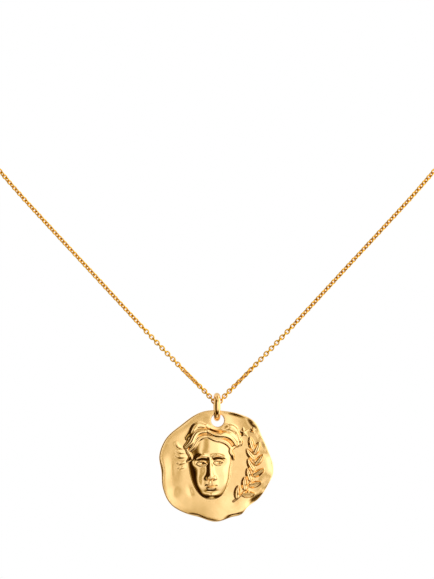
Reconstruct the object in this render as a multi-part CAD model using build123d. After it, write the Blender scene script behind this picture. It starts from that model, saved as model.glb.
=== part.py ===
from build123d import *

import math
import os

import numpy as np
from scipy.spatial import Delaunay

# Zodiac pendant necklace: a cast medallion with an uneven hammered rim, hung
# by a round ring on a fine chain that closes with a bolt ring at the nape.
# Millimetres. +X is the viewer's right, -Y is the front and +Z is up. The
# origin is the nape, where the bolt ring and the chain bear on the neck.

# Medallion
medallion_width = 25.0
medallion_height = 24.4
sheet_thickness = 1.1
rim_round = 0.26
hole_radius = 1.42
hole_shift = 0.27
hole_land = 0.80
hole_round = 0.16

# Relief on the medallion
relief_rise = 1.30
head_height = 16.2
head_left = 1.35
head_up = 0.80
head_tilt = 3.0
sprig_rise = 0.80
star_rise = 0.55
field_wave = 0.30
rim_bend = 0.80

# Ring between medallion and chain. It is seen nearly edge on, turned by
# ring_turn degrees so that its near strand is to the right. The medallion
# hangs a little behind it and beside it, so that its weight is under the ring.
ring_outer = 6.25
ring_wire = 1.40
ring_turn = 2.6
running_gap = 0.10
hang_back = 0.18
hang_right = -0.14

# Chain, given by its half route from the ring to the nape
chain_gauge = 1.16
chain_half_width = 66.0
chain_depth = 102.0
chain_drop = 100.0

# Bolt ring at the nape
bolt_outer = 5.5
bolt_wire = 1.1
bolt_barrel_length = 2.4
bolt_barrel_gauge = 1.5
bolt_eye_outer = 2.7
bolt_eye_wire = 0.7

# Facets
rim_points = 132
hole_points = 28
head_pitch = 0.25
motif_pitch = 0.34
field_pitch = 0.80
back_pitch = 1.45

# The rim, counter-clockwise from the right: angle in degrees, and the reach
# from the middle as a share of half the medallion's width.
RIM = [
    (0, 0.978), (14, 0.934), (34, 0.938), (50, 1.012), (66, 0.990), (80, 0.971),
    (104, 0.984), (132, 0.957), (154, 1.021), (170, 1.028), (185, 0.980),
    (202, 1.024), (218, 1.050), (236, 0.990), (249, 0.945), (269, 0.968),
    (285, 0.923), (297, 0.938), (306, 0.890), (322, 0.918), (340, 0.942),
    (354, 0.983),
]

# Where the hammered rim bends: angle in degrees, half span in degrees, how far
# in it starts as a share of half the width, and the bend as a share of
# rim_bend, back when positive.
BENDS = [
    (250, 12, 0.045, 0.50), (264, 8, 0.04, 0.20), (290, 13, 0.045, 0.45),
    (318, 11, 0.10, 0.70), (345, 10, 0.16, -0.40), (2, 11, 0.09, 0.40),
    (22, 12, 0.12, -0.35), (70, 15, 0.05, -0.40),
    (128, 22, 0.12, 0.25), (184, 12, 0.08, 0.25), (216, 16, 0.12, -0.15),
]

# Soft hollows and swells of the whole sheet: centre, half sizes, turn in
# degrees and depth. Lengths are shares of half the width, the depth is a share
# of field_wave and goes back when positive.
WAVES = [
    (-0.74, -0.45, 0.08, 0.07, 30, 0.30), (-0.46, -0.44, 0.04, 0.08, 20, 0.22),
    (-0.70, 0.28, 0.34, 0.30, 0, -0.60), (-0.05, -0.82, 0.36, 0.18, 0, -0.50),
    (0.40, 0.66, 0.26, 0.18, -30, 0.60), (0.62, -0.55, 0.22, 0.16, 45, 0.60),
    (-0.78, -0.05, 0.10, 0.22, 0, 0.45), (0.30, -0.60, 0.14, 0.12, 30, 0.35),
    (-0.35, 0.80, 0.26, 0.12, 10, 0.35), (0.666, 0.760, 0.15, 0.056, -50, -1.30),
]

# The face, in shares of head_height from the head's middle: its middle, half
# width, reach up and reach down; all rises are shares of relief_rise.
FACE_MIDDLE = 0.055
FACE_HALF_WIDTH = 0.292
FACE_ABOVE = 0.365
FACE_BELOW = 0.555
FACE_RISE = 0.74

# Soft forms mirrored about the middle of the face: offset, height, half sizes,
# turn in degrees and rise.
FACE_PAIRS = [
    (0.113, 0.004, 0.082, 0.048, -4, -0.36), (0.168, -0.125, 0.092, 0.085, 24, 0.10),
    (0.120, -0.240, 0.050, 0.095, -14, -0.07), (0.205, 0.120, 0.050, 0.085, 0, -0.07),
    (0.195, -0.290, 0.070, 0.110, 22, 0.05), (0.044, 0.020, 0.020, 0.044, 0, -0.08),
]

# Soft forms on the middle line: height, half sizes and rise.
FACE_MIDDLES = [
    (0.215, 0.150, 0.085, 0.07), (0.085, 0.100, 0.055, 0.04), (-0.300, 0.120, 0.055, 0.10),
    (-0.392, 0.070, 0.020, -0.10), (-0.462, 0.072, 0.050, 0.20), (-0.262, 0.010, 0.022, -0.05),
]

EYE_OUT = 0.113
EYE_UP = -0.012
EYE_HALF_WIDTH = 0.066
EYE_HALF_HEIGHT = 0.030
EYE_RISE = 0.16
LID_WIDTH = 0.011
LID_RISE = 0.13
BROW_RISE = 0.24
NOSE_TOP = 0.050
NOSE_BASE = -0.232
NOSE_RISE = 0.42
MOUTH_UP = -0.322
MOUTH_HALF_WIDTH = 0.088
LIP_RISE = 0.17
CREASE_WIDTH = 0.008

# Locks of hair, in shares of head_height: start, end, bow, half width and
# rise. They part a little left of the middle and sweep to both sides.
LOCKS = [
    (-0.035, 0.352, -0.282, 0.160, -0.10, 0.034, 0.32),
    (-0.050, 0.428, -0.312, 0.226, -0.12, 0.056, 0.50),
    (-0.060, 0.492, -0.282, 0.340, -0.17, 0.050, 0.40),
    (-0.010, 0.352, 0.300, 0.160, 0.10, 0.034, 0.32),
    (0.000, 0.430, 0.372, 0.226, 0.12, 0.060, 0.52),
    (0.050, 0.482, 0.400, 0.322, 0.17, 0.052, 0.42),
    (0.402, 0.318, 0.376, 0.222, 0.42, 0.030, 0.36),
    (-0.022, 0.498, 0.040, 0.440, 0.20, 0.034, 0.26),
    (-0.312, 0.200, -0.302, 0.030, 0.22, 0.028, 0.30),
    (0.334, 0.190, 0.316, 0.030, -0.22, 0.030, 0.30),
]

# Loose wisps beside the head, given like the locks.
WISPS = [
    (-0.300, 0.225, -0.450, 0.310, 0.30, 0.021, 0.11),
    (-0.300, 0.165, -0.465, 0.190, 0.14, 0.023, 0.12),
    (-0.305, 0.100, -0.475, 0.115, 0.06, 0.023, 0.11),
    (-0.305, 0.040, -0.455, 0.010, 0.08, 0.022, 0.10),
    (-0.320, -0.040, -0.445, -0.070, -0.04, 0.020, 0.08),
]

# Laurel sprig: its stem as start, end and bow, in shares of half the width.
STEM = (0.300, -0.620, 0.640, 0.310, -0.17)
STEM_HALF_WIDTH = 0.016
LEAF_LENGTH = 0.240
LEAF_HALF_WIDTH = 0.056

# Leaves: place along the stem as a share, side, and opening in degrees.
LEAVES = [
    (0.06, 1, 44), (0.16, -1, 40), (0.25, 1, 42), (0.35, -1, 42), (0.44, 1, 40),
    (0.54, -1, 40), (0.63, 1, 38), (0.73, -1, 36), (0.82, 1, 34), (0.90, -1, 30),
    (0.97, 1, 2),
]

# Berries: place along the stem, offset to the side and radius, the last two in
# shares of half the width.
BERRIES = [(0.160, 0.056, 0.024), (0.350, 0.056, 0.024), (0.255, -0.056, 0.024), (0.540, 0.054, 0.022)]

# Two stars: centre and radius in shares of half the width, turn in degrees.
STARS = [(0.478, 0.590, 0.105, 8), (0.640, 0.625, 0.066, -14)]


def hole_middle():
    """Where the hole sits on the medallion, measured from its middle."""
    return hole_shift, medallion_height / 2 - hole_land - hole_radius


def ease(low, high, x):
    """Zero below low, one above high and a smooth step between."""
    t = np.clip((x - low) / (high - low), 0.0, 1.0)
    return t * t * (3.0 - 2.0 * t)


def blend_max(a, b, soft):
    """The greater of two heights, rounded where they meet."""
    h = np.clip(0.5 + 0.5 * (a - b) / soft, 0.0, 1.0)
    return b + (a - b) * h + soft * h * (1.0 - h)


def span(u, v, centre_u, centre_v, half_u, half_v, turn):
    """The square of the distance from a centre, counted in half sizes."""
    c = math.cos(math.radians(turn))
    s = math.sin(math.radians(turn))
    a = ((u - centre_u) * c + (v - centre_v) * s) / half_u
    b = (-(u - centre_u) * s + (v - centre_v) * c) / half_v
    return a * a + b * b


def along(u, v, start_u, start_v, end_u, end_v, bow, count=12):
    """Share of the length and signed distance from a bowed stroke."""
    run_u = end_u - start_u
    run_v = end_v - start_v
    k = np.linspace(0.0, 1.0, count + 1)
    lift = 4.0 * bow * k * (1.0 - k)
    stroke_u = start_u + run_u * k - run_v * lift
    stroke_v = start_v + run_v * k + run_u * lift
    best = np.full(np.shape(u), 1e9)
    share = np.zeros(np.shape(u))
    side = np.zeros(np.shape(u))
    for i in range(count):
        du = stroke_u[i + 1] - stroke_u[i]
        dv = stroke_v[i + 1] - stroke_v[i]
        part = ((u - stroke_u[i]) * du + (v - stroke_v[i]) * dv) / (du * du + dv * dv)
        part = np.clip(part, 0.0, 1.0)
        off_u = u - stroke_u[i] - part * du
        off_v = v - stroke_v[i] - part * dv
        square = off_u * off_u + off_v * off_v
        nearer = square < best
        best = np.where(nearer, square, best)
        share = np.where(nearer, (i + part) / count, share)
        side = np.where(nearer, np.sqrt(square) * np.sign(du * off_v - dv * off_u), side)
    return share, side


def lock(u, v, row):
    """One lock of hair: a rounded ridge that narrows to both ends."""
    start_u, start_v, end_u, end_v, bow, half_width, rise = row
    share, side = along(u, v, start_u, start_v, end_u, end_v, bow)
    side = side + 0.42 * half_width * np.sin(2.0 * math.pi * share)
    width = half_width * (0.55 + 0.60 * np.sin(math.pi * np.clip(0.10 + 0.80 * share, 0, 1)))
    body = np.clip(1.0 - (side / width) ** 2, 0.0, None)
    strand = 1.0 - 0.16 * np.exp(-((side / width + 0.10) / 0.16) ** 2)
    return rise * body**0.85 * strand * (0.78 + 0.22 * np.sin(math.pi * share))


def wisp(u, v, row):
    """One soft stroke that fades to both ends."""
    start_u, start_v, end_u, end_v, bow, half_width, rise = row
    share, side = along(u, v, start_u, start_v, end_u, end_v, bow)
    return rise * np.exp(-((side / half_width) ** 2)) * np.sin(math.pi * share)


def egg(u, v):
    """One on the middle of the face and zero on its outline."""
    up = v > FACE_MIDDLE
    q = np.abs(v - FACE_MIDDLE) / np.where(up, FACE_ABOVE, FACE_BELOW)
    p = np.abs(u) / FACE_HALF_WIDTH
    power = np.where(up, 2.0, 2.22)
    return 1.0 - (p**power + q**power) ** (2.4 / power)


def features(u, v):
    """Brows, eyes, nose, mouth and chin on the face."""
    f = np.zeros(np.shape(u))
    side = np.abs(u)
    for out, up, half_u, half_v, turn, rise in FACE_PAIRS:
        f = f + rise * np.exp(-span(side, v, out, up, half_u, half_v, turn))
    for up, half_u, half_v, rise in FACE_MIDDLES:
        f = f + rise * np.exp(-span(u, v, 0.0, up, half_u, half_v, 0.0))
    share, off = along(side, v, 0.040, 0.079, 0.206, 0.048, 0.16)
    width = np.where(off > 0, 0.026, 0.013)
    f = f + BROW_RISE * np.exp(-((off / width) ** 2)) * np.sin(math.pi * (0.14 + 0.80 * share))
    across = (side - EYE_OUT) / EYE_HALF_WIDTH
    lift = (v - EYE_UP) / EYE_HALF_HEIGHT
    arch = np.clip(1.0 - across**2, 0.0, None)
    ball = np.clip(1.0 - across**2 - (0.8 * lift) ** 2, 0.0, None)
    f = f + EYE_RISE * np.sqrt(ball)
    for way, strength in ((1.0, 1.0), (-1.0, 0.72)):
        gap = (lift - way * arch) * EYE_HALF_HEIGHT
        fade = ease(1.16, 0.92, np.abs(across))
        f = f + strength * LID_RISE * fade * np.exp(-((gap / LID_WIDTH) ** 2))
    f = f - 0.08 * np.exp(-span(side, v, EYE_OUT, EYE_UP + 0.002, 0.012, 0.012, 0.0))
    drop = np.clip((NOSE_TOP - v) / (NOSE_TOP - NOSE_BASE), 0.0, 1.0)
    width = 0.025 + 0.028 * drop
    bridge = NOSE_RISE * (0.34 + 0.66 * drop**1.3)
    bridge = bridge * ease(NOSE_BASE - 0.014, NOSE_BASE + 0.020, v)
    bridge = bridge * ease(NOSE_TOP + 0.06, NOSE_TOP - 0.03, v)
    f = f + bridge * np.exp(-((side / width) ** 2))
    f = f + 0.20 * np.exp(-span(side, v, 0.046, NOSE_BASE + 0.024, 0.024, 0.024, 0.0))
    f = f - 0.12 * np.exp(-span(side, v, 0.026, NOSE_BASE - 0.010, 0.018, 0.010, 0.0))
    upper = np.clip(1.0 - span(side, v, 0.032, MOUTH_UP + 0.016, 0.064, 0.019, -5.0), 0.0, None)
    lower = np.clip(1.0 - span(u, v, 0.0, MOUTH_UP - 0.019, 0.070, 0.022, 0.0), 0.0, None)
    f = f + LIP_RISE * (0.85 * upper + 1.1 * lower)
    line = (v - MOUTH_UP - 0.016 * (side / MOUTH_HALF_WIDTH) ** 2 + 0.005) / CREASE_WIDTH
    f = f - 0.13 * np.exp(-(line**2)) * ease(1.12, 0.75, side / MOUTH_HALF_WIDTH)
    return f


def head(x, z):
    """Height of the head with its hair and wisps over the field."""
    c = math.cos(math.radians(head_tilt))
    s = math.sin(math.radians(head_tilt))
    u = ((x + head_left) * c + (z - head_up) * s) / head_height
    v = (-(x + head_left) * s + (z - head_up) * c) / head_height
    inside = egg(u, v)
    dome = FACE_RISE * np.clip(inside, 0.0, None) ** 0.66
    face = dome + ease(0.0, 0.30, inside) * features(u, v)
    cap = np.clip(1.0 - span(u, v, 0.0, 0.17, 0.385, 0.300, 0.0), 0.0, None)
    cap = 0.56 * np.sqrt(cap) * ease(-0.02, 0.10, v)
    hair = np.zeros(np.shape(u))
    for row in LOCKS:
        hair = blend_max(hair, lock(u, v, row), 0.03)
    grown = ease(0.02, 0.12, hair)
    height = np.maximum(face, np.where(grown > 0, cap * grown, 0.0)) + hair * 0.86
    for row in WISPS:
        height = height + wisp(u, v, row)
    return relief_rise * height


def sprig(x, z):
    """Height of the laurel sprig over the field."""
    half = medallion_width / 2
    u = x / half
    v = z / half
    share, side = along(u, v, *STEM)
    body = 0.55 * np.sqrt(np.clip(1.0 - (side / STEM_HALF_WIDTH) ** 2, 0.0, None))
    start_u, start_v, end_u, end_v, bow = STEM
    run_u = end_u - start_u
    run_v = end_v - start_v
    for place, way, opening in LEAVES:
        foot_u = start_u + run_u * place - run_v * 4.0 * bow * place * (1.0 - place)
        foot_v = start_v + run_v * place + run_u * 4.0 * bow * place * (1.0 - place)
        swing = 4.0 * bow * (1.0 - 2.0 * place)
        lean = math.atan2(run_v + run_u * swing, run_u - run_v * swing)
        turn = lean + way * math.radians(opening)
        a = ((u - foot_u) * math.cos(turn) + (v - foot_v) * math.sin(turn)) / LEAF_LENGTH
        b = (-(u - foot_u) * math.sin(turn) + (v - foot_v) * math.cos(turn)) / LEAF_HALF_WIDTH
        b = b - way * 0.5 * a * (1.0 - a)
        blade = 1.0 - b**2 / np.clip(4.0 * a * (1.0 - a) * (1.25 - 0.5 * a), 1e-6, None)
        blade = np.where((a > 0) & (a < 1), np.clip(blade, 0.0, None), 0.0)
        vein = 1.0 - 0.20 * np.exp(-((b / 0.18) ** 2)) * ease(1.0, 0.7, a)
        body = np.maximum(body, blade**0.80 * vein * (0.75 + 0.25 * a))
    for place, off, radius in BERRIES:
        foot_u = start_u + run_u * place - run_v * (4.0 * bow * place * (1.0 - place) + off)
        foot_v = start_v + run_v * place + run_u * (4.0 * bow * place * (1.0 - place) + off)
        ball = 1.0 - span(u, v, foot_u, foot_v, radius, radius, 0.0)
        body = np.maximum(body, np.sqrt(np.clip(ball, 0.0, None)))
    return sprig_rise * body


def stars(x, z):
    """Height of the two five-pointed stars over the field."""
    half = medallion_width / 2
    height = np.zeros(np.shape(x))
    for centre_u, centre_v, radius, turn in STARS:
        u = x / half - centre_u
        v = z / half - centre_v
        angle = np.arctan2(v, u) - math.radians(90 + turn)
        fold = np.abs(np.mod(angle + math.pi / 5, 2 * math.pi / 5) - math.pi / 5)
        reach = np.hypot(u, v) / radius
        edge = reach * (np.cos(fold) + 1.9 * np.sin(fold))
        height = np.maximum(height, star_rise * np.clip(1.0 - edge, 0.0, None))
    return height


def rim_reach(angle):
    """The rim's reach at an angle in degrees, a smooth closed curve through RIM."""
    angles = np.array([row[0] for row in RIM], float)
    reach = np.array([row[1] for row in RIM], float)
    a = np.concatenate([angles[-2:] - 360.0, angles, angles[:2] + 360.0])
    r = np.concatenate([reach[-2:], reach, reach[:2]])
    slope = np.gradient(r, a)
    x = np.mod(np.asarray(angle, float), 360.0)
    i = np.clip(np.searchsorted(a, x, side="right") - 1, 0, len(a) - 2)
    step = a[i + 1] - a[i]
    t = (x - a[i]) / step
    first = (2 * t**3 - 3 * t**2 + 1) * r[i] + (t**3 - 2 * t**2 + t) * step * slope[i]
    last = (3 * t**2 - 2 * t**3) * r[i + 1] + (t**3 - t**2) * step * slope[i + 1]
    return first + last


def sheet(x, z):
    """How far back the whole sheet lies: its bent rim and soft waves."""
    half = medallion_width / 2
    u = x / half
    v = z / half
    angle = np.degrees(np.arctan2(v, u))
    reach = np.hypot(u, v) / rim_reach(angle)
    back = np.zeros(np.shape(x))
    for place, half_span, start, depth in BENDS:
        off = np.abs(np.mod(angle - place + 180.0, 360.0) - 180.0)
        t = np.clip((reach - 1.0 + start * 1.3) / (start * 1.3), 0.0, 1.2)
        back = back + rim_bend * depth * t**2 * ease(half_span * 1.25, 0.0, off)
    for centre_u, centre_v, half_u, half_v, turn, depth in WAVES:
        back = back + field_wave * depth * np.exp(-span(u, v, centre_u, centre_v, half_u, half_v, turn))
    hole_x, hole_z = hole_middle()
    return back * ease(1.5, 3.2, np.hypot(x - hole_x, z - hole_z))


def relief(x, z):
    """Height of all the cast work over the field."""
    half = medallion_width / 2
    angle = np.degrees(np.arctan2(z, x))
    inner = (rim_reach(angle) * half - np.hypot(x, z)) / half
    height = np.maximum(np.maximum(head(x, z), sprig(x, z)), stars(x, z))
    hole_x, hole_z = hole_middle()
    hole_away = np.hypot(x - hole_x, z - hole_z) - hole_radius
    return height * ease(0.03, 0.08, inner) * ease(0.15, 1.9, hole_away)


def rim_loop(count):
    """Points evenly spaced along the rim and their inward directions."""
    angle = np.radians(np.arange(0.0, 360.0, 0.25))
    reach = rim_reach(np.degrees(angle)) * medallion_width / 2
    x = reach * np.cos(angle)
    z = reach * np.sin(angle)
    x = x - (x.max() + x.min()) / 2
    z = z - (z.max() + z.min()) / 2
    x = x * medallion_width / (x.max() - x.min())
    z = z * medallion_height / (z.max() - z.min())
    step = np.hypot(np.diff(x, append=x[0]), np.diff(z, append=z[0]))
    run = np.concatenate([[0.0], np.cumsum(step)])
    at = np.linspace(0.0, run[-1], count, endpoint=False)
    loop = np.stack([np.interp(at, run, np.append(x, x[0])), np.interp(at, run, np.append(z, z[0]))], 1)
    ahead = np.roll(loop, -1, 0) - np.roll(loop, 1, 0)
    ahead = ahead / np.linalg.norm(ahead, axis=1)[:, None]
    return loop, np.stack([-ahead[:, 1], ahead[:, 0]], 1)


def hole_loop(count):
    """Points around the hole and their directions out into the metal."""
    angle = np.linspace(0.0, 2 * math.pi, count, endpoint=False)
    away = np.stack([np.cos(angle), np.sin(angle)], 1)
    return np.array(hole_middle()) + away * hole_radius, away


def grid(pitch):
    """A triangular grid of points over the medallion."""
    rows = int(medallion_height / 2 / (pitch * math.sqrt(3) / 2)) + 2
    columns = int(medallion_width / 2 / pitch) + 2
    i, j = np.meshgrid(np.arange(-columns, columns + 1), np.arange(-rows, rows + 1))
    return np.stack([(i + 0.5 * (j % 2)).ravel() * pitch, j.ravel() * pitch * math.sqrt(3) / 2], 1)


def clearance(points, loop):
    """Distance of each point from a loop, positive inside it."""
    after = np.roll(loop, -1, 0)
    run = after - loop
    best = np.full(len(points), 1e9)
    crossings = np.zeros(len(points), int)
    for k in range(len(loop)):
        rel = points - loop[k]
        part = np.clip(rel @ run[k] / (run[k] @ run[k]), 0.0, 1.0)
        best = np.minimum(best, np.linalg.norm(rel - part[:, None] * run[k], axis=1))
        level = (loop[k, 1] > points[:, 1]) != (after[k, 1] > points[:, 1])
        rise = run[k, 1] if run[k, 1] else 1e-9
        cross_x = loop[k, 0] + (points[:, 1] - loop[k, 1]) * run[k, 0] / rise
        crossings = crossings + (level & (points[:, 0] < cross_x))
    return np.where(crossings % 2 == 1, best, -best)


def fill(outer, inner, pitches):
    """Points and triangles of the sheet between its inset rim and hole."""
    spots = [outer, inner]
    for low, pitch in pitches:
        candidate = grid(pitch)
        edge = clearance(candidate, outer)
        hole = -clearance(candidate, inner)
        wanted = low(candidate) & (edge > 0.55 * pitch) & (hole > 0.55 * min(pitch, 0.5))
        spots.append(candidate[wanted])
    points = np.concatenate(spots)
    triangles = Delaunay(points).simplices
    middle = points[triangles].mean(1)
    keep = (clearance(middle, outer) > 0) & (clearance(middle, inner) < 0)
    triangles = triangles[keep]
    a = points[triangles[:, 1]] - points[triangles[:, 0]]
    b = points[triangles[:, 2]] - points[triangles[:, 0]]
    turned = a[:, 0] * b[:, 1] - a[:, 1] * b[:, 0] < 0
    triangles[turned] = triangles[turned][:, ::-1]
    return points, triangles


def in_head(p):
    """Points on the head, its hair and its wisps."""
    away = span(p[:, 0], p[:, 1], -head_left, head_up, head_height * 0.405, head_height * 0.52, -head_tilt)
    return away < 1.0


def in_motif(p):
    """Points on the sprig, the stars and the wisps, off the head."""
    u = p[:, 0] / (medallion_width / 2)
    v = p[:, 1] / (medallion_width / 2)
    share, side = along(u, v, *STEM)
    near = np.abs(side) < LEAF_LENGTH * 0.98
    for centre_u, centre_v, radius, turn in STARS:
        near = near | (span(u, v, centre_u, centre_v, radius * 1.2, radius * 1.2, 0.0) < 1.0)
    middle_x = -head_left - head_height * 0.43
    wisps = span(p[:, 0], p[:, 1], middle_x, head_up + head_height * 0.05, 1.5, 3.9, 0.0)
    return (near | (wisps < 1.0)) & ~in_head(p)


def in_field(p):
    """Points on the bare field."""
    return ~(in_head(p) | in_motif(p))


def everywhere(p):
    """All points."""
    return np.full(len(p), True)


def soft_relief(x, z):
    """The relief, averaged over the width of a facet."""
    reach = head_pitch * 0.32
    total = relief(x, z) * 2.0
    for turn in range(6):
        angle = turn * math.pi / 3
        total = total + relief(x + reach * math.cos(angle), z + reach * math.sin(angle))
    return total / 8.0


def strip(first, second, count):
    """Triangles between two loops of the same count, the first one outside."""
    rows = []
    for i in range(count):
        j = (i + 1) % count
        rows.append((first + i, first + j, second + j))
        rows.append((first + i, second + j, second + i))
    return rows


def facet_solid():
    """The medallion as a closed solid of flat facets, its middle at the origin."""
    rim, inward = rim_loop(rim_points)
    eye, outward = hole_loop(hole_points)
    shoulder = 1.0 - math.sqrt(0.5)
    rim_rings = [rim, rim + inward * rim_round * shoulder, rim + inward * rim_round]
    eye_rings = [eye, eye + outward * hole_round]
    rim_falls = [rim_round, rim_round * shoulder, 0.0]
    eye_falls = [hole_round, 0.0]
    fine = [(in_head, head_pitch), (in_motif, motif_pitch), (in_field, field_pitch)]
    sides = []
    for way, pitches in ((-1.0, fine), (1.0, [(everywhere, back_pitch)])):
        points, triangles = fill(rim_rings[2], eye_rings[1], pitches)
        loops = [rim_rings[0], rim_rings[1], eye_rings[0]]
        flat = np.concatenate([points] + loops)
        fall = np.zeros(len(flat))
        base = len(points)
        fall[base:base + rim_points] = rim_falls[0]
        fall[base + rim_points:base + 2 * rim_points] = rim_falls[1]
        fall[base + 2 * rim_points:] = eye_falls[0]
        depth = sheet(flat[:, 0], flat[:, 1]) + way * (sheet_thickness / 2 - fall)
        if way < 0:
            depth = depth - soft_relief(flat[:, 0], flat[:, 1])
        rows = [tuple(t) for t in triangles]
        rows = rows + strip(base, base + rim_points, rim_points)
        rows = rows + strip(base + rim_points, 0, rim_points)
        rows = rows + strip(rim_points, base + 2 * rim_points, hole_points)
        solid_points = [(float(x), float(y), float(z)) for (x, z), y in zip(flat, depth)]
        if way > 0:
            rows = [t[::-1] for t in rows]
        sides.append((solid_points, rows, base))
    faces = []
    for solid_points, rows, base in sides:
        for row in rows:
            faces.append(Face(Wire.make_polygon([solid_points[k] for k in row], close=True)))
    front, _, front_base = sides[0]
    back, _, back_base = sides[1]
    for start, count in ((0, rim_points), (2 * rim_points, hole_points)):
        for i in range(count):
            j = (i + 1) % count
            corners = [front[front_base + start + i], back[back_base + start + i]]
            corners = corners + [back[back_base + start + j], front[front_base + start + j]]
            faces.append(Face(Wire.make_polygon(corners, close=True)))
    print("medallion facets", len(faces))
    shape = Solid(Shell(faces))
    return shape if shape.volume > 0 else Solid(shape.wrapped.Reversed())


# Where the parts hang, from the chain's middle in the ring down.
ring_mean = (ring_outer - ring_wire) / 2
ring_inner = ring_outer / 2 - ring_wire
chain_y = bolt_wire / 2 - chain_depth
chain_z = -chain_drop
ring_z = chain_z + chain_gauge / 2 + running_gap - ring_inner
bend_radius = chain_gauge / 2 + running_gap + ring_wire / 2
ring_rise = ring_inner - math.sqrt(ring_inner**2 - (sheet_thickness / 2 + hang_back - hole_round / 2) ** 2)
hole_top = ring_z - ring_inner + ring_rise + running_gap
medallion_z = hole_top + hole_land - medallion_height / 2

# The chain's half route from the ring to the nape, as shares of its half
# width, its depth and its drop.
ROUTE = [
    (0.389, 0.000, 0.265), (0.695, 0.000, 0.486), (0.875, 0.030, 0.632), (1.000, 0.215, 0.775),
    (1.000, 0.510, 0.890), (0.815, 0.790, 0.965), (0.420, 0.960, 0.990),
]


def chain_points():
    """The corners of the chain's route from one end at the nape to the other."""
    rows = []
    for x, y, z in ROUTE:
        rows.append((x * chain_half_width, chain_y + y * chain_depth, chain_z + z * chain_drop))
    slope = (rows[0][2] - chain_z) / rows[0][0]
    low = chain_z + bend_radius - bend_radius * math.sqrt(1.0 + slope**2)
    left_end = (-bolt_outer / 2 - running_gap, bolt_wire / 2, 0.0)
    right_end = (bolt_outer / 2 + bolt_eye_outer - bolt_wire / 2 + running_gap, bolt_wire / 2, 0.0)
    left = [(-x, y, z) for x, y, z in rows]
    return [left_end] + left[::-1] + [(0.0, chain_y, low)] + rows + [right_end]


def chain_radii(points):
    """The radius of each bend: the ring's at the ring, else as wide as the runs allow."""
    radii = []
    for i in range(1, len(points) - 1):
        before = Vector(*points[i]) - Vector(*points[i - 1])
        after = Vector(*points[i + 1]) - Vector(*points[i])
        turn = math.radians(before.get_angle(after))
        if i == len(points) // 2:
            radii.append(bend_radius)
        else:
            radii.append(0.45 * min(before.length, after.length) / math.tan(turn / 2))
    return radii


def chain():
    """The chain's envelope as one tube along its route."""
    points = chain_points()
    radii = chain_radii(points)
    path = FilletPolyline(*points, radius=radii)
    section = Plane(origin=path @ 0, z_dir=path % 0) * Circle(chain_gauge / 2)
    tube = sweep(section, path=path)
    print("chain bend radii", [round(r, 2) for r in radii])
    area = math.pi * chain_gauge**2 / 4
    print("chain length", round(path.length, 2), "volume", round(tube.volume, 2))
    print("volume expected", round(area * path.length, 2))
    return tube


def bail_ring():
    """The round ring, edge on to the front, between the chain and the medallion."""
    return Pos(0, chain_y, ring_z) * Rot(0, 0, ring_turn) * Rot(0, 90, 0) * Torus(ring_mean, ring_wire / 2)


def medallion():
    """The medallion where it hangs."""
    return Pos(hang_right, chain_y + hang_back, medallion_z) * facet_solid()


def clasp():
    """The bolt ring that closes the chain, with its barrel and fixed eye."""
    mean = (bolt_outer - bolt_wire) / 2
    body = Torus(mean, bolt_wire / 2)
    barrel = Pos(0, mean, 0) * Rot(0, 90, 0) * Cylinder(bolt_barrel_gauge / 2, bolt_barrel_length)
    eye_x = bolt_outer / 2 + bolt_eye_outer / 2 - bolt_wire / 2
    eye = Pos(eye_x, 0, 0) * Torus((bolt_eye_outer - bolt_eye_wire) / 2, bolt_eye_wire / 2)
    whole = body + barrel + eye
    return Pos(0, bolt_wire / 2, 0) * Rot(90, 0, 0) * whole


def main():
    """Make every part and write each to its own file."""
    os.makedirs("parts", exist_ok=True)
    makers = {"chain": chain, "clasp": clasp, "bail_ring": bail_ring, "medallion": medallion}
    for name, maker in makers.items():
        shape = maker()
        solids = shape.solids()
        box = shape.bounding_box()
        print(name, "solids", len(solids), "valid", shape.is_valid, "volume", round(shape.volume, 2))
        print("  from", [round(v, 2) for v in box.min], "to", [round(v, 2) for v in box.max])
        export_step(solids[0] if len(solids) == 1 else shape, "parts/" + name + ".step")


if __name__ == "__main__":
    main()
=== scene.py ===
"""Zodiac pendant necklace: its medallion, ring, fine chain and bolt ring, dressed for a studio picture.

Laid out as an add-on: sizes and colours are in property groups, and each piece has its own operator.
The relief is worked out in millimetres on the medallion's face, x to the right and z up.
"""

import math
from types import SimpleNamespace

import bpy
import numpy as np
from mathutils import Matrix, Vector
from mathutils.geometry import delaunay_2d_cdt


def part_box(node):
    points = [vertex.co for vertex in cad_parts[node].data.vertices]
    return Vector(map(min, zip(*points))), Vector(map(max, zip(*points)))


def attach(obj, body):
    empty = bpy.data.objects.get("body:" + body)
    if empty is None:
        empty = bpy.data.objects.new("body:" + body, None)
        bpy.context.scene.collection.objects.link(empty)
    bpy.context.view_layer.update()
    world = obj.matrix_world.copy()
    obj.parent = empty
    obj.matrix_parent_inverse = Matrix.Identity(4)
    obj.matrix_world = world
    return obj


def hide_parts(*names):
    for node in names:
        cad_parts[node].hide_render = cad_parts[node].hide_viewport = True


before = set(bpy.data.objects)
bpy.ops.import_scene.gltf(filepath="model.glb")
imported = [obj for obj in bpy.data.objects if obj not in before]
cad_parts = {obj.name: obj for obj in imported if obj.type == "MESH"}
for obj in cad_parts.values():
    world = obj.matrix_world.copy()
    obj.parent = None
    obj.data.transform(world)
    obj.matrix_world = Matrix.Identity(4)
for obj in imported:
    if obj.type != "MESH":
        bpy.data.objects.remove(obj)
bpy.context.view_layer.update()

bl_info = {
    "name": "Zodiac Pendant Necklace",
    "version": (1, 0, 0),
    "blender": (4, 5, 0),
    "location": "3D View > Sidebar > Necklace",
    "description": "Medallion with a head in relief, its ring, a fine cable chain and a bolt ring",
    "category": "Object",
}

MM = 0.001

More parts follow.
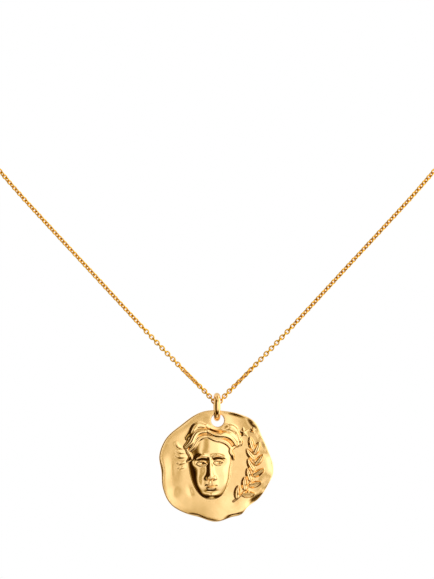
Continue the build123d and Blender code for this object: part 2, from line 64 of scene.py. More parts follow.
# Places in millimetres from the nape: the chain's middle in the ring, and the middles of the ring,
# the bolt ring and the medallion.
CHAIN_IN_RING = (0.0, -101.45, -100.0)
RING_PLACE = (0.0, -101.45, -101.045)
BOLT_PLACE = (0.0, 0.55, 0.0)
MEDALLION_PLACE = (-0.14, -101.27, -113.943)

# The mesh attribute with the height of the relief as a share of relief_rise.
RAISED = "raised"

# Mesh counts: points along the rim and around the hole, and steps round an edge.
RIM_POINTS = 420
HOLE_POINTS = 90
ROUND_STEPS = 5

# The chain's route, half of it, in millimetres: close to the ring, then the
# corners to the nape.
NEAR_RING = [
    (0.42, -101.45, -99.95), (2.05, -101.45, -98.22), (7.0, -101.45, -93.32), (15.0, -101.45, -85.05),
]
ROUTE = [
    (25.674, -101.45, -73.42), (36.0, -101.45, -62.30), (45.87, -101.45, -51.55), (57.75, -98.39, -36.8),
    (65.9, -79.52, -22.5), (65.9, -49.43, -11.0), (53.79, -20.87, -3.5), (27.72, -3.53, -1.0),
]
LEFT_END = (-3.43, 0.55, 0.0)
RIGHT_END = (4.61, 0.55, 0.0)

# The middle of the jump ring at the chain's left end.
JUMP_PLACE = (-2.31, 0.55, 0.0)

# How far off its left end the finished line may start, in millimetres.
LINE_TOLERANCE = 0.1

# The chain by the distance from the ring, in millimetres: the pitch of its
# links, which lie closer where they are slack, and their turn about it in degrees.
PITCH = [
    (0.0, 0.735), (9.8, 0.735), (10.2, 0.800), (12.8, 0.800), (13.2, 0.836), (28.0, 0.836), (29.0, 0.817),
]
TWIST = [
    (0.0, 0.0), (3.8, 2.0), (6.0, 34.0), (8.0, 45.0), (10.4, 54.0), (12.2, 84.0), (14.5, 92.0),
    (21.0, 96.0), (24.5, 124.0), (27.0, 130.0), (400.0, 130.0),
]

# The links beside the middle one hang lower, clear of the ring's wire and of each other: how far,
# and how soon it fades along the chain, in millimetres.
LINK_SAG = 0.2
LINK_SAG_REACH = 1.8

# Loose links lie a few degrees off the even quarter turn, from a distance in millimetres on.
LOOSE_TURN = 3.0
LOOSE_FROM = 6.0
LOOSE_SEED = 7

# A link points from this far behind its middle to as far ahead, in millimetres.
DIRECTION_STEP = 0.2

# The picture's height in dots, the camera's sensor in millimetres and how far it sees in metres.
PICTURE_HEIGHT = 579
SENSOR_WIDTH = 36.0
CAMERA_REACH = 10.0

# The studio about the necklace: the level between its cards, then a row for each card, of its
# strength, its azimuth and elevation seen from the medallion, its half sizes and the width of its
# soft edge, in degrees. Azimuth 0 is the camera and 90 the right. A dark card's strength is the
# share of the light that it takes.
ROOM_LIGHT = 0.045
SOFTBOXES = [
    (1.32, 14, 10, 38, 38, 24),
    (0.60, 36, 16, 16, 30, 16),
    (0.55, -108, 0, 28, 50, 24),
    (1.80, 98, 5, 34, 50, 24),
    (1.00, 0, 90, 180, 35, 14),
    (0.90, 0, -80, 180, 17, 12),
    (0.85, 180, 5, 62, 50, 30),
]
DARK_CARDS = [
    (0.60, -6, -4, 5, 60, 6),
    (0.70, -33, 14, 12, 66, 14),
    (0.50, 0, 90, 180, 17, 12),
]

# The powers of a dim level that give its red, green and blue.
WARMTH = (1.0, 1.28, 2.4)

# The rim, counter-clockwise from the right: angle in degrees, and the reach
# from the middle as a share of half the medallion's width.
RIM = [
    (0, 0.978), (14, 0.934), (34, 0.938), (50, 1.012), (66, 0.990), (80, 0.971),
    (104, 0.984), (132, 0.957), (154, 1.021), (170, 1.028), (185, 0.980),
    (202, 1.024), (218, 1.050), (236, 0.990), (249, 0.945), (269, 0.968),
    (285, 0.923), (297, 0.938), (306, 0.890), (322, 0.918), (340, 0.942),
    (354, 0.983),
]

# Where the hammered rim bends: angle in degrees, half span in degrees, how far
# in it starts as a share of half the width, and the bend as a share of
# rim_bend, back when positive.
BENDS = [
    (250, 12, 0.045, 0.50), (264, 8, 0.04, 0.20), (290, 13, 0.045, 0.45),
    (318, 11, 0.10, 0.70), (345, 10, 0.16, -0.40), (2, 11, 0.09, 0.40),
    (22, 12, 0.12, -0.35), (70, 15, 0.05, -0.40),
    (128, 22, 0.12, 0.25), (184, 12, 0.08, 0.25), (216, 16, 0.12, -0.15),
]

# How much further in than its row says a bend starts, and how much wider it fades out.
BEND_INSET = 1.3
BEND_SPREAD = 1.25

# Soft hollows and swells of the whole sheet: centre, half sizes, turn in
# degrees and depth. Lengths are shares of half the width, the depth is a share
# of field_wave and goes back when positive.
WAVES = [
    (-0.74, -0.45, 0.08, 0.07, 30, 0.30), (-0.46, -0.44, 0.04, 0.08, 20, 0.22),
    (-0.70, 0.28, 0.34, 0.30, 0, -0.60), (-0.05, -0.82, 0.36, 0.18, 0, -0.50),
    (0.40, 0.66, 0.26, 0.18, -30, 0.60), (0.62, -0.55, 0.22, 0.16, 45, 0.60),
    (-0.78, -0.05, 0.10, 0.22, 0, 0.45), (0.30, -0.60, 0.14, 0.12, 30, 0.35),
    (-0.35, 0.80, 0.26, 0.12, 10, 0.35), (0.666, 0.760, 0.15, 0.056, -50, -1.30),
]

# Where the sheet's bends and waves fade in about the hole, in millimetres from its middle, and
# where the raised work fades in, in shares of half the width from the rim and in millimetres
# from the hole's edge.
FLAT_BY_HOLE = (1.5, 3.2)
RIM_FADE = (0.03, 0.08)
HOLE_FADE = (0.15, 1.9)

# Pieces that a bowed stroke is measured in.
STROKE_STEPS = 12

# The face, in shares of head_height from the head's middle: its middle, half
# width, reach up and reach down; all rises are shares of relief_rise.
FACE_MIDDLE = 0.055
FACE_HALF_WIDTH = 0.292
FACE_ABOVE = 0.365
FACE_BELOW = 0.555
FACE_RISE = 0.74
FACE_ROUNDNESS = 0.66

# The powers that shape the egg of the face: round above, squarer at the jaw, and its fall.
CROWN_POWER = 2.0
JAW_POWER = 2.22
EGG_POWER = 2.4

# Soft forms mirrored about the middle of the face: offset, height, half sizes, turn in degrees
# and rise. The last three are the middle of the eye, the side of the nose and its nostril.
FACE_PAIRS = [
    (0.113, 0.004, 0.082, 0.048, -4, -0.36), (0.168, -0.125, 0.092, 0.085, 24, 0.10),
    (0.120, -0.240, 0.050, 0.095, -14, -0.07), (0.205, 0.120, 0.050, 0.085, 0, -0.07),
    (0.195, -0.290, 0.070, 0.110, 22, 0.05), (0.044, 0.020, 0.020, 0.044, 0, -0.08),
    (0.113, -0.010, 0.012, 0.012, 0, -0.08), (0.046, -0.208, 0.024, 0.024, 0, 0.20),
    (0.026, -0.242, 0.018, 0.010, 0, -0.12),
]

# Soft forms on the middle line: height, half sizes and rise.
FACE_MIDDLES = [
    (0.215, 0.150, 0.085, 0.07), (0.085, 0.100, 0.055, 0.04), (-0.300, 0.120, 0.055, 0.10),
    (-0.392, 0.070, 0.020, -0.10), (-0.462, 0.072, 0.050, 0.20), (-0.262, 0.010, 0.022, -0.05),
]

# The upper and the lower lip, given like the mirrored forms, as full ridges.
LIPS = [(0.032, -0.306, 0.064, 0.019, -5, 0.1445), (0.0, -0.341, 0.070, 0.022, 0, 0.187)]

# The brow as start, end and bow, then its softness on each side. The eye, nose and mouth follow.
BROW = (0.040, 0.079, 0.206, 0.048, 0.16)
BROW_ABOVE = 0.026
BROW_BELOW = 0.013
BROW_RISE = 0.24
EYE_OUT = 0.113
EYE_UP = -0.012
EYE_HALF_WIDTH = 0.066
EYE_HALF_HEIGHT = 0.030
EYE_RISE = 0.16
LID_WIDTH = 0.011
LID_RISE = 0.13
LOWER_LID = 0.72
NOSE_TOP = 0.050
NOSE_BASE = -0.232
NOSE_RISE = 0.42
NOSE_TOP_SHARE = 0.34
NOSE_TOP_WIDTH = 0.025
NOSE_BASE_WIDTH = 0.053
MOUTH_HALF_WIDTH = 0.088
CREASE_UP = -0.327
CREASE_LIFT = 0.016
CREASE_WIDTH = 0.008
CREASE_DEPTH = 0.13

# The cap of hair behind the locks: its middle's height, half sizes and rise.
CAP_UP = 0.17
CAP_HALF_WIDTH = 0.385
CAP_HALF_HEIGHT = 0.300
CAP_RISE = 0.56

# Locks of hair, in shares of head_height: start, end, bow, half width and
# rise. They part a little left of the middle and sweep to both sides.
LOCKS = [
    (-0.035, 0.352, -0.282, 0.160, -0.10, 0.034, 0.32),
    (-0.050, 0.428, -0.312, 0.226, -0.12, 0.056, 0.50),
    (-0.060, 0.492, -0.282, 0.340, -0.17, 0.050, 0.40),
    (-0.010, 0.352, 0.300, 0.160, 0.10, 0.034, 0.32),
    (0.000, 0.430, 0.372, 0.226, 0.12, 0.060, 0.52),
    (0.050, 0.482, 0.400, 0.322, 0.17, 0.052, 0.42),
    (0.402, 0.318, 0.376, 0.222, 0.42, 0.030, 0.36),
    (-0.022, 0.498, 0.040, 0.440, 0.20, 0.034, 0.26),
    (-0.312, 0.200, -0.302, 0.030, 0.22, 0.028, 0.30),
    (0.334, 0.190, 0.316, 0.030, -0.22, 0.030, 0.30),
]

# How far a lock waves sideways in half widths, how softly two locks meet, the share of their rise
# that stands over the face, and the groove along each one.
LOCK_WAVE = 0.42
LOCK_BLEND = 0.03
HAIR_SHARE = 0.86
GROOVE_DEPTH = 0.16
GROOVE_OFF = 0.10
GROOVE_WIDTH = 0.16

# Loose wisps beside the head, given like the locks.
WISPS = [
    (-0.300, 0.225, -0.450, 0.310, 0.30, 0.021, 0.11),
    (-0.300, 0.165, -0.465, 0.190, 0.14, 0.023, 0.12),
    (-0.305, 0.100, -0.475, 0.115, 0.06, 0.023, 0.11),
    (-0.305, 0.040, -0.455, 0.010, 0.08, 0.022, 0.10),
    (-0.320, -0.040, -0.445, -0.070, -0.04, 0.020, 0.08),
]

# Laurel sprig: its stem as start, end and bow, in shares of half the width.
STEM = (0.300, -0.620, 0.640, 0.310, -0.17)
STEM_HALF_WIDTH = 0.016
STEM_RISE = 0.55
LEAF_LENGTH = 0.240
LEAF_HALF_WIDTH = 0.056
VEIN_DEPTH = 0.20
VEIN_WIDTH = 0.18

# Leaves: place along the stem as a share, side, and opening in degrees.
LEAVES = [
    (0.06, 1, 44), (0.16, -1, 40), (0.25, 1, 42), (0.35, -1, 42), (0.44, 1, 40),
    (0.54, -1, 40), (0.63, 1, 38), (0.73, -1, 36), (0.82, 1, 34), (0.90, -1, 30),
    (0.97, 1, 2),
]

# Berries: place along the stem and offset to its left, both as shares of its length, and radius in
# shares of half the width.
BERRIES = [(0.160, 0.056, 0.024), (0.350, 0.056, 0.024), (0.255, -0.056, 0.024), (0.540, 0.054, 0.022)]

# Two stars: centre and radius in shares of half the width, turn in degrees.
STARS = [(0.478, 0.590, 0.105, 8), (0.640, 0.625, 0.066, -14)]
STAR_POINTEDNESS = 1.9

# Where the grid of points stops at the rim, as a share of its reach, and the widest pitch that
# counts at the hole, in millimetres.
GRID_REACH = 0.985
HOLE_PITCH = 0.3

# Where the mesh is finest: the head's half sizes in shares of head_height, then its wisps' middle
# in the same shares and their half sizes in millimetres.
HEAD_AREA = (0.41, 0.53)
WISPS_LEFT = 0.42
WISPS_UP = 0.05
WISPS_AREA = (1.9, 4.3)

# The barrel's rounded edge as a share of its gauge, and the half gauge that closes its ends.
ROD_EDGE = 0.16
ROD_TIP = 0.001

# The gold's unevenness as size in millimetres, detail and roughness of the pattern. Hand finishing
# leaves waves about 2 mm long. Real polishing marks are finer than these, which are drawn coarse
# enough to show, and wear dulls patches about 1 mm across.
HAND_WAVES = (2.2, 1.0, 0.40)
POLISHING_MARKS = (0.30, 3.0, 0.60)
WEAR = (1.1, 4.0, 0.65)

# The part of the wear pattern that counts, how much smoother and duller it makes the gold, and the
# tint of its deeper patches.
WEAR_RANGE = (0.3, 0.7)
WORN_SMOOTH = 0.80
WORN_DULL = 1.25
DEEP_TONE = (0.96, 0.92, 0.84, 1.0)

# The shares of the relief between which the satin turns into polish.
BUFFED_FROM = 0.03
BUFFED_TO = 0.16


def hole_middle(m):
    """Where the hole sits on the medallion, measured from its middle."""
    return m.hole_shift, m.height / 2 - m.hole_land - m.hole_radius


def ease(low, high, x):
    """Zero below low, one above high and a smooth step between."""
    t = np.clip((x - low) / (high - low), 0.0, 1.0)
    return t * t * (3.0 - 2.0 * t)


def blend_max(a, b, soft):
    """The greater of two heights, rounded where they meet."""
    h = np.clip(0.5 + 0.5 * (a - b) / soft, 0.0, 1.0)
    return b + (a - b) * h + soft * h * (1.0 - h)


def span(u, v, centre_u, centre_v, half_u, half_v, turn):
    """The square of the distance from a centre, counted in half sizes."""
    c = math.cos(math.radians(turn))
    s = math.sin(math.radians(turn))
    a = ((u - centre_u) * c + (v - centre_v) * s) / half_u
    b = (-(u - centre_u) * s + (v - centre_v) * c) / half_v
    return a * a + b * b


def on_stroke(stroke, share, off=0.0):
    """The point at a share of a bowed stroke's length, moved to its left by a share of its length."""
    start_u, start_v, end_u, end_v, bow = stroke
    run_u = end_u - start_u
    run_v = end_v - start_v
    lift = 4.0 * bow * share * (1.0 - share) + off
    return start_u + run_u * share - run_v * lift, start_v + run_v * share + run_u * lift


def along(u, v, stroke):
    """Share of the length and signed distance from a bowed stroke."""
    stroke_u, stroke_v = on_stroke(stroke, np.linspace(0.0, 1.0, STROKE_STEPS + 1))
    best = np.full(np.shape(u), np.inf)
    share = np.zeros(np.shape(u))
    side = np.zeros(np.shape(u))
    for i in range(STROKE_STEPS):
        du = stroke_u[i + 1] - stroke_u[i]
        dv = stroke_v[i + 1] - stroke_v[i]
        part = ((u - stroke_u[i]) * du + (v - stroke_v[i]) * dv) / (du * du + dv * dv)
        part = np.clip(part, 0.0, 1.0)
        off_u = u - stroke_u[i] - part * du
        off_v = v - stroke_v[i] - part * dv
        square = off_u * off_u + off_v * off_v
        nearer = square < best
        best = np.where(nearer, square, best)
        share = np.where(nearer, (i + part) / STROKE_STEPS, share)
        side = np.where(nearer, np.sqrt(square) * np.sign(du * off_v - dv * off_u), side)
    return share, side


def lock(u, v, row):
    """One lock of hair: a rounded ridge that narrows to both ends, with a groove along it."""
    *stroke, half_width, rise = row
    share, side = along(u, v, stroke)
    side = side + LOCK_WAVE * half_width * np.sin(2.0 * math.pi * share)
    width = half_width * (0.55 + 0.60 * np.sin(math.pi * np.clip(0.10 + 0.80 * share, 0, 1)))
    body = np.clip(1.0 - (side / width) ** 2, 0.0, None)
    strand = 1.0 - GROOVE_DEPTH * np.exp(-((side / width + GROOVE_OFF) / GROOVE_WIDTH) ** 2)
    return rise * body**0.85 * strand * (0.78 + 0.22 * np.sin(math.pi * share))


def wisp(u, v, row):
    """One soft stroke that fades to both ends."""
    *stroke, half_width, rise = row
    share, side = along(u, v, stroke)
    return rise * np.exp(-((side / half_width) ** 2)) * np.sin(math.pi * share)


def egg(u, v):
    """One on the middle of the face and zero on its outline."""
    up = v > FACE_MIDDLE
    q = np.abs(v - FACE_MIDDLE) / np.where(up, FACE_ABOVE, FACE_BELOW)
    p = np.abs(u) / FACE_HALF_WIDTH
    power = np.where(up, CROWN_POWER, JAW_POWER)
    return 1.0 - (p**power + q**power) ** (EGG_POWER / power)


def brow(side, v):
    """The brow, sharp below and soft above."""
    share, off = along(side, v, BROW)
    width = np.where(off > 0, BROW_ABOVE, BROW_BELOW)
    return BROW_RISE * np.exp(-((off / width) ** 2)) * np.sin(math.pi * (0.14 + 0.80 * share))


def eye(side, v):
    """The eyeball between its two lids, of which the lower one is fainter."""
    across = (side - EYE_OUT) / EYE_HALF_WIDTH
    lift = (v - EYE_UP) / EYE_HALF_HEIGHT
    arch = np.clip(1.0 - across**2, 0.0, None)
    height = EYE_RISE * np.sqrt(np.clip(1.0 - across**2 - (0.8 * lift) ** 2, 0.0, None))
    fade = ease(1.16, 0.92, np.abs(across))
    for way, strength in ((1.0, 1.0), (-1.0, LOWER_LID)):
        gap = (lift - way * arch) * EYE_HALF_HEIGHT
        height = height + strength * LID_RISE * fade * np.exp(-((gap / LID_WIDTH) ** 2))
    return height


def nose(side, v):
    """The ridge of the nose, which widens and rises from its top to its base."""
    drop = np.clip((NOSE_TOP - v) / (NOSE_TOP - NOSE_BASE), 0.0, 1.0)
    width = NOSE_TOP_WIDTH + (NOSE_BASE_WIDTH - NOSE_TOP_WIDTH) * drop
    ridge = NOSE_RISE * (NOSE_TOP_SHARE + (1.0 - NOSE_TOP_SHARE) * drop**1.3)
    ridge = ridge * ease(NOSE_BASE - 0.014, NOSE_BASE + 0.020, v)
    ridge = ridge * ease(NOSE_TOP + 0.06, NOSE_TOP - 0.03, v)
    return ridge * np.exp(-((side / width) ** 2))


def mouth(side, v):
    """The crease between the lips, which lifts to its corners."""
    share = side / MOUTH_HALF_WIDTH
    line = (v - CREASE_UP - CREASE_LIFT * share**2) / CREASE_WIDTH
    return -CREASE_DEPTH * np.exp(-(line**2)) * ease(1.12, 0.75, share)


def features(u, v):
    """Brows, eyes, nose, mouth and chin on the face."""
    side = np.abs(u)
    height = brow(side, v) + eye(side, v) + nose(side, v) + mouth(side, v)
    for out, up, half_u, half_v, turn, rise in FACE_PAIRS:
        height = height + rise * np.exp(-span(side, v, out, up, half_u, half_v, turn))
    for up, half_u, half_v, rise in FACE_MIDDLES:
        height = height + rise * np.exp(-span(u, v, 0.0, up, half_u, half_v, 0.0))
    for out, up, half_u, half_v, turn, rise in LIPS:
        height = height + rise * np.clip(1.0 - span(side, v, out, up, half_u, half_v, turn), 0.0, None)
    return height


def head(m, x, z):
    """Height of the head with its hair and wisps over the field."""
    c = math.cos(math.radians(m.head_tilt))
    s = math.sin(math.radians(m.head_tilt))
    u = ((x + m.head_left) * c + (z - m.head_up) * s) / m.head_height
    v = (-(x + m.head_left) * s + (z - m.head_up) * c) / m.head_height
    inside = egg(u, v)
    dome = FACE_RISE * np.clip(inside, 0.0, None) ** FACE_ROUNDNESS
    face = dome + ease(0.0, 0.30, inside) * features(u, v)
    cap = np.clip(1.0 - span(u, v, 0.0, CAP_UP, CAP_HALF_WIDTH, CAP_HALF_HEIGHT, 0.0), 0.0, None)
    cap = CAP_RISE * np.sqrt(cap) * ease(-0.02, 0.10, v)
    hair = np.zeros(np.shape(u))
    for row in LOCKS:
        hair = blend_max(hair, lock(u, v, row), LOCK_BLEND)
    grown = ease(0.02, 0.12, hair)
    height = np.maximum(face, np.where(grown > 0, cap * grown, 0.0)) + hair * HAIR_SHARE
    for row in WISPS:
        height = height + wisp(u, v, row)
    return m.relief_rise * height


def leaf(u, v, place, way, opening):
    """One leaf on a side of the stem, pointed at both ends, with a vein along its middle."""
    start_u, start_v, end_u, end_v, bow = STEM
    foot_u, foot_v = on_stroke(STEM, place)
    run_u = end_u - start_u
    run_v = end_v - start_v
    swing = 4.0 * bow * (1.0 - 2.0 * place)
    lean = math.atan2(run_v + run_u * swing, run_u - run_v * swing)
    turn = lean + way * math.radians(opening)
    a = ((u - foot_u) * math.cos(turn) + (v - foot_v) * math.sin(turn)) / LEAF_LENGTH
    b = (-(u - foot_u) * math.sin(turn) + (v - foot_v) * math.cos(turn)) / LEAF_HALF_WIDTH
    b = b - way * 0.5 * a * (1.0 - a)
    blade = 1.0 - b**2 / np.clip(4.0 * a * (1.0 - a) * (1.25 - 0.5 * a), 1e-6, None)
    blade = np.where((a > 0) & (a < 1), np.clip(blade, 0.0, None), 0.0)
    vein = 1.0 - VEIN_DEPTH * np.exp(-((b / VEIN_WIDTH) ** 2)) * ease(1.0, 0.7, a)
    return blade**0.80 * vein * (0.75 + 0.25 * a)


def sprig(m, x, z):
    """Height of the laurel sprig over the field."""
    half = m.width / 2
    u = x / half
    v = z / half
    _, side = along(u, v, STEM)
    body = STEM_RISE * np.sqrt(np.clip(1.0 - (side / STEM_HALF_WIDTH) ** 2, 0.0, None))
    for place, way, opening in LEAVES:
        body = np.maximum(body, leaf(u, v, place, way, opening))
    for place, off, radius in BERRIES:
        ball = 1.0 - span(u, v, *on_stroke(STEM, place, off), radius, radius, 0.0)
        body = np.maximum(body, np.sqrt(np.clip(ball, 0.0, None)))
    return m.sprig_rise * body


def stars(m, x, z):
    """Height of the two five-pointed stars over the field."""
    half = m.width / 2
    height = np.zeros(np.shape(x))
    for centre_u, centre_v, radius, turn in STARS:
        u = x / half - centre_u
        v = z / half - centre_v
        angle = np.arctan2(v, u) - math.radians(90 + turn)
        fold = np.abs(np.mod(angle + math.pi / 5, 2 * math.pi / 5) - math.pi / 5)
        edge = np.hypot(u, v) / radius * (np.cos(fold) + STAR_POINTEDNESS * np.sin(fold))
        height = np.maximum(height, m.star_rise * np.clip(1.0 - edge, 0.0, None))
    return height


def rim_reach(angle):
    """The rim's reach at an angle in degrees, a smooth closed curve through RIM."""
    angles = np.array([row[0] for row in RIM], float)
    reach = np.array([row[1] for row in RIM], float)
    a = np.concatenate([angles[-2:] - 360.0, angles, angles[:2] + 360.0])
    r = np.concatenate([reach[-2:], reach, reach[:2]])
    slope = np.gradient(r, a)
    x = np.mod(np.asarray(angle, float), 360.0)
    i = np.clip(np.searchsorted(a, x, side="right") - 1, 0, len(a) - 2)
    step = a[i + 1] - a[i]
    t = (x - a[i]) / step
    first = (2 * t**3 - 3 * t**2 + 1) * r[i] + (t**3 - 2 * t**2 + t) * step * slope[i]
    last = (3 * t**2 - 2 * t**3) * r[i + 1] + (t**3 - t**2) * step * slope[i + 1]
    return first + last


def sheet(m, x, z):
    """How far back the whole sheet lies: its bent rim and soft waves."""
    half = m.width / 2
    u = x / half
    v = z / half
    angle = np.degrees(np.arctan2(v, u))
    reach = np.hypot(u, v) / rim_reach(angle)
    back = np.zeros(np.shape(x))
    for place, half_span, start, depth in BENDS:
        off = np.abs(np.mod(angle - place + 180.0, 360.0) - 180.0)
        inset = start * BEND_INSET
        t = np.clip((reach - 1.0 + inset) / inset, 0.0, 1.2)
        back = back + m.rim_bend * depth * t**2 * ease(half_span * BEND_SPREAD, 0.0, off)
    for *place, depth in WAVES:
        back = back + m.field_wave * depth * np.exp(-span(u, v, *place))
    hole_x, hole_z = hole_middle(m)
    return back * ease(*FLAT_BY_HOLE, np.hypot(x - hole_x, z - hole_z))


def relief(m, x, z):
    """Height of all the cast work over the field."""
    half = m.width / 2
    angle = np.degrees(np.arctan2(z, x))
    inner = (rim_reach(angle) * half - np.hypot(x, z)) / half
    height = np.maximum(np.maximum(head(m, x, z), sprig(m, x, z)), stars(m, x, z))
    hole_x, hole_z = hole_middle(m)
    hole_away = np.hypot(x - hole_x, z - hole_z) - m.hole_radius
    return height * ease(*RIM_FADE, inner) * ease(*HOLE_FADE, hole_away)


# Meshes of the pieces


def rim_loop(m, count):
    """Points evenly spaced along the rim and their inward directions."""
    angle = np.radians(np.arange(0.0, 360.0, 0.25))
    reach = rim_reach(np.degrees(angle)) * m.width / 2
    x = reach * np.cos(angle)
    z = reach * np.sin(angle)
    x = x - (x.max() + x.min()) / 2
    z = z - (z.max() + z.min()) / 2
    x = x * m.width / (x.max() - x.min())
    z = z * m.height / (z.max() - z.min())
    step = np.hypot(np.diff(x, append=x[0]), np.diff(z, append=z[0]))
    run = np.concatenate([[0.0], np.cumsum(step)])
    at = np.linspace(0.0, run[-1], count, endpoint=False)
    loop = np.stack([np.interp(at, run, np.append(side, side[0])) for side in (x, z)], 1)
    ahead = np.roll(loop, -1, 0) - np.roll(loop, 1, 0)
    ahead = ahead / np.linalg.norm(ahead, axis=1)[:, None]
    return loop, np.stack([-ahead[:, 1], ahead[:, 0]], 1)


def hole_loop(m, count):
    """Points around the hole and their directions out into the metal."""
    angle = np.linspace(0.0, 2 * math.pi, count, endpoint=False)
    away = np.stack([np.cos(angle), np.sin(angle)], 1)
    return np.array(hole_middle(m)) + away * m.hole_radius, away


def grid(m, pitch):
    """A triangular grid of points over the medallion."""
    row = pitch * math.sqrt(3) / 2
    rows = int(m.height / 2 / row) + 2
    columns = int(m.width / 2 / pitch) + 2
    i, j = np.meshgrid(np.arange(-columns, columns + 1), np.arange(-rows, rows + 1))
    return np.stack([(i + 0.5 * (j % 2)).ravel() * pitch, j.ravel() * row], 1)


def clear_of_edges(m, points, pitch):
    """Which points lie on the sheet, off its inset rim and hole by half a pitch."""
    angle = np.degrees(np.arctan2(points[:, 1], points[:, 0]))
    inset = rim_reach(angle) * m.width / 2 * GRID_REACH - np.hypot(points[:, 0], points[:, 1])
    hole_x, hole_z = hole_middle(m)
    out = np.hypot(points[:, 0] - hole_x, points[:, 1] - hole_z) - m.hole_radius
    return (inset > m.rim_round + 0.5 * pitch) & (out > m.hole_round + 0.5 * min(pitch, HOLE_PITCH))


def in_head(m, p):
    """Points on the head, its hair and its wisps."""
    x, z = p.T
    half_u = m.head_height * HEAD_AREA[0]
    half_v = m.head_height * HEAD_AREA[1]
    away = span(x, z, -m.head_left, m.head_up, half_u, half_v, -m.head_tilt)
    middle_x = -m.head_left - m.head_height * WISPS_LEFT
    middle_z = m.head_up + m.head_height * WISPS_UP
    wisps_away = span(x, z, middle_x, middle_z, *WISPS_AREA, 0.0)
    return (away < 1.0) | (wisps_away < 1.0)


def in_motif(m, p):
    """Points on the sprig and the stars, off the head."""
    u, v = p.T / (m.width / 2)
    _, side = along(u, v, STEM)
    near = np.abs(side) < LEAF_LENGTH * 1.02
    for centre_u, centre_v, radius, _ in STARS:
        near = near | (span(u, v, centre_u, centre_v, radius * 1.2, radius * 1.2, 0.0) < 1.0)
    return near & ~in_head(m, p)


def in_field(m, p):
    """Points off all the raised work."""
    return ~(in_head(m, p) | in_motif(m, p))


def everywhere(m, p):
    """All points."""
    return np.full(len(p), True)


def strip(first, second, count):
    """Triangles between two loops of the same count, the first one outside."""
    near = np.arange(count)
    far = (near + 1) % count
    one = np.stack([first + near, first + far, second + far], 1)
    two = np.stack([first + near, second + far, second + near], 1)
    return np.concatenate([one, two])


def rounded_edge(loop, inward, radius):
    """Loops of points over an edge's rounding, from its outside in, and how far each one falls."""
    turns = np.linspace(0.0, math.pi / 2, ROUND_STEPS + 1)
    rings = [loop + inward * radius * (1 - math.cos(t)) for t in turns]
    return rings, [radius * (1 - math.sin(t)) for t in turns]


def flat_points(m, loops, pitches):
    """The inner loops of the two edges, then the grid points between them."""
    spots = list(loops)
    for wanted, pitch in pitches:
        candidate = grid(m, pitch)
        spots.append(candidate[wanted(m, candidate) & clear_of_edges(m, candidate, pitch)])
    return np.concatenate(spots)


def flat_triangles(m, flat):
    """Triangles between the points of one side, with the hole left open."""
    loops = [list(range(RIM_POINTS)), list(range(RIM_POINTS, RIM_POINTS + HOLE_POINTS))]
    made = delaunay_2d_cdt([Vector(p) for p in flat], [], loops, 1, 1e-7)
    if len(made[0]) != len(flat):
        raise RuntimeError("the medallion's points don't keep their order")
    rows = np.array(made[2])
    middle = flat[rows].mean(1)
    hole_x, hole_z = hole_middle(m)
    away = np.hypot(middle[:, 0] - hole_x, middle[:, 1] - hole_z)
    return rows[away > m.hole_radius + m.hole_round * 0.9]


def medallion_side(m, way, pitches):
    """Points, triangles, edge starts and heights of the front, way -1, or the back, way +1."""
    rim = rounded_edge(*rim_loop(m, RIM_POINTS), m.rim_round)
    hole = rounded_edge(*hole_loop(m, HOLE_POINTS), m.hole_round)
    flat = flat_points(m, (rim[0][-1], hole[0][-1]), pitches)
    points = [flat]
    falls = [np.zeros(len(flat))]
    rows = [flat_triangles(m, flat)]
    starts = []
    base = len(flat)
    for (rings, drops), first, count in ((rim, 0, RIM_POINTS), (hole, RIM_POINTS, HOLE_POINTS)):
        loops = [base + count * k for k in range(ROUND_STEPS)] + [first]
        for ring, drop in zip(rings[:-1], drops[:-1]):
            points.append(ring)
            falls.append(np.full(count, drop))
        for a, b in zip(loops[:-1], loops[1:]):
            rows.append(strip(a, b, count) if first == 0 else strip(b, a, count))
        starts.append(base)
        base += count * ROUND_STEPS
    points = np.concatenate(points)
    x, z = points.T
    height = relief(m, x, z) if way < 0 else np.zeros(len(points))
    depth = sheet(m, x, z) + way * (m.thickness / 2 - np.concatenate(falls)) - height
    rows = np.concatenate(rows)
    if way > 0:
        rows = rows[:, ::-1]
    return np.stack([x, depth, z], 1), rows, starts, height / m.relief_rise


def medallion_mesh(m):
    """Points in millimetres from the medallion's middle, triangles and the share of the relief."""
    fine = [(in_head, m.head_pitch), (in_motif, m.motif_pitch), (in_field, m.field_pitch)]
    front, front_rows, front_edges, raised = medallion_side(m, -1.0, fine)
    back, back_rows, back_edges, level = medallion_side(m, 1.0, [(everywhere, m.back_pitch)])
    shift = len(front)
    rim_wall = strip(back_edges[0] + shift, front_edges[0], RIM_POINTS)
    hole_wall = strip(front_edges[1], back_edges[1] + shift, HOLE_POINTS)
    rows = np.concatenate([front_rows, back_rows + shift, rim_wall, hole_wall])
    return np.concatenate([front, back]), rows, np.concatenate([raised, level])


def wrap(rounds, across, closed):
    """Quads between rounds of points; a closed form joins its last round to its first."""
    i, j = np.meshgrid(np.arange(rounds if closed else rounds - 1), np.arange(across), indexing="ij")
    k = (i + 1) % rounds
    n = (j + 1) % across
    return np.stack([i * across + j, k * across + j, k * across + n, i * across + n], -1).reshape(-1, 4)


def ring_mesh(mean, wire, around, across, squash=1.0):
    """Points and quads of a round or oval ring of round wire, flat in x and y."""
    a = np.linspace(0, 2 * math.pi, around, endpoint=False)
    b = np.linspace(0, 2 * math.pi, across, endpoint=False)[None, :, None]
    level = np.zeros(around)
    out = np.stack([np.cos(a), np.sin(a) / squash, level], 1)
    out = out / np.linalg.norm(out, axis=1)[:, None]
    middle = np.stack([np.cos(a) * mean, np.sin(a) * mean * squash, level], 1)
    up = np.array([0.0, 0.0, 1.0])
    points = middle[:, None] + wire / 2 * (out[:, None] * np.cos(b) + up * np.sin(b))
    return points.reshape(-1, 3), wrap(around, across, True)


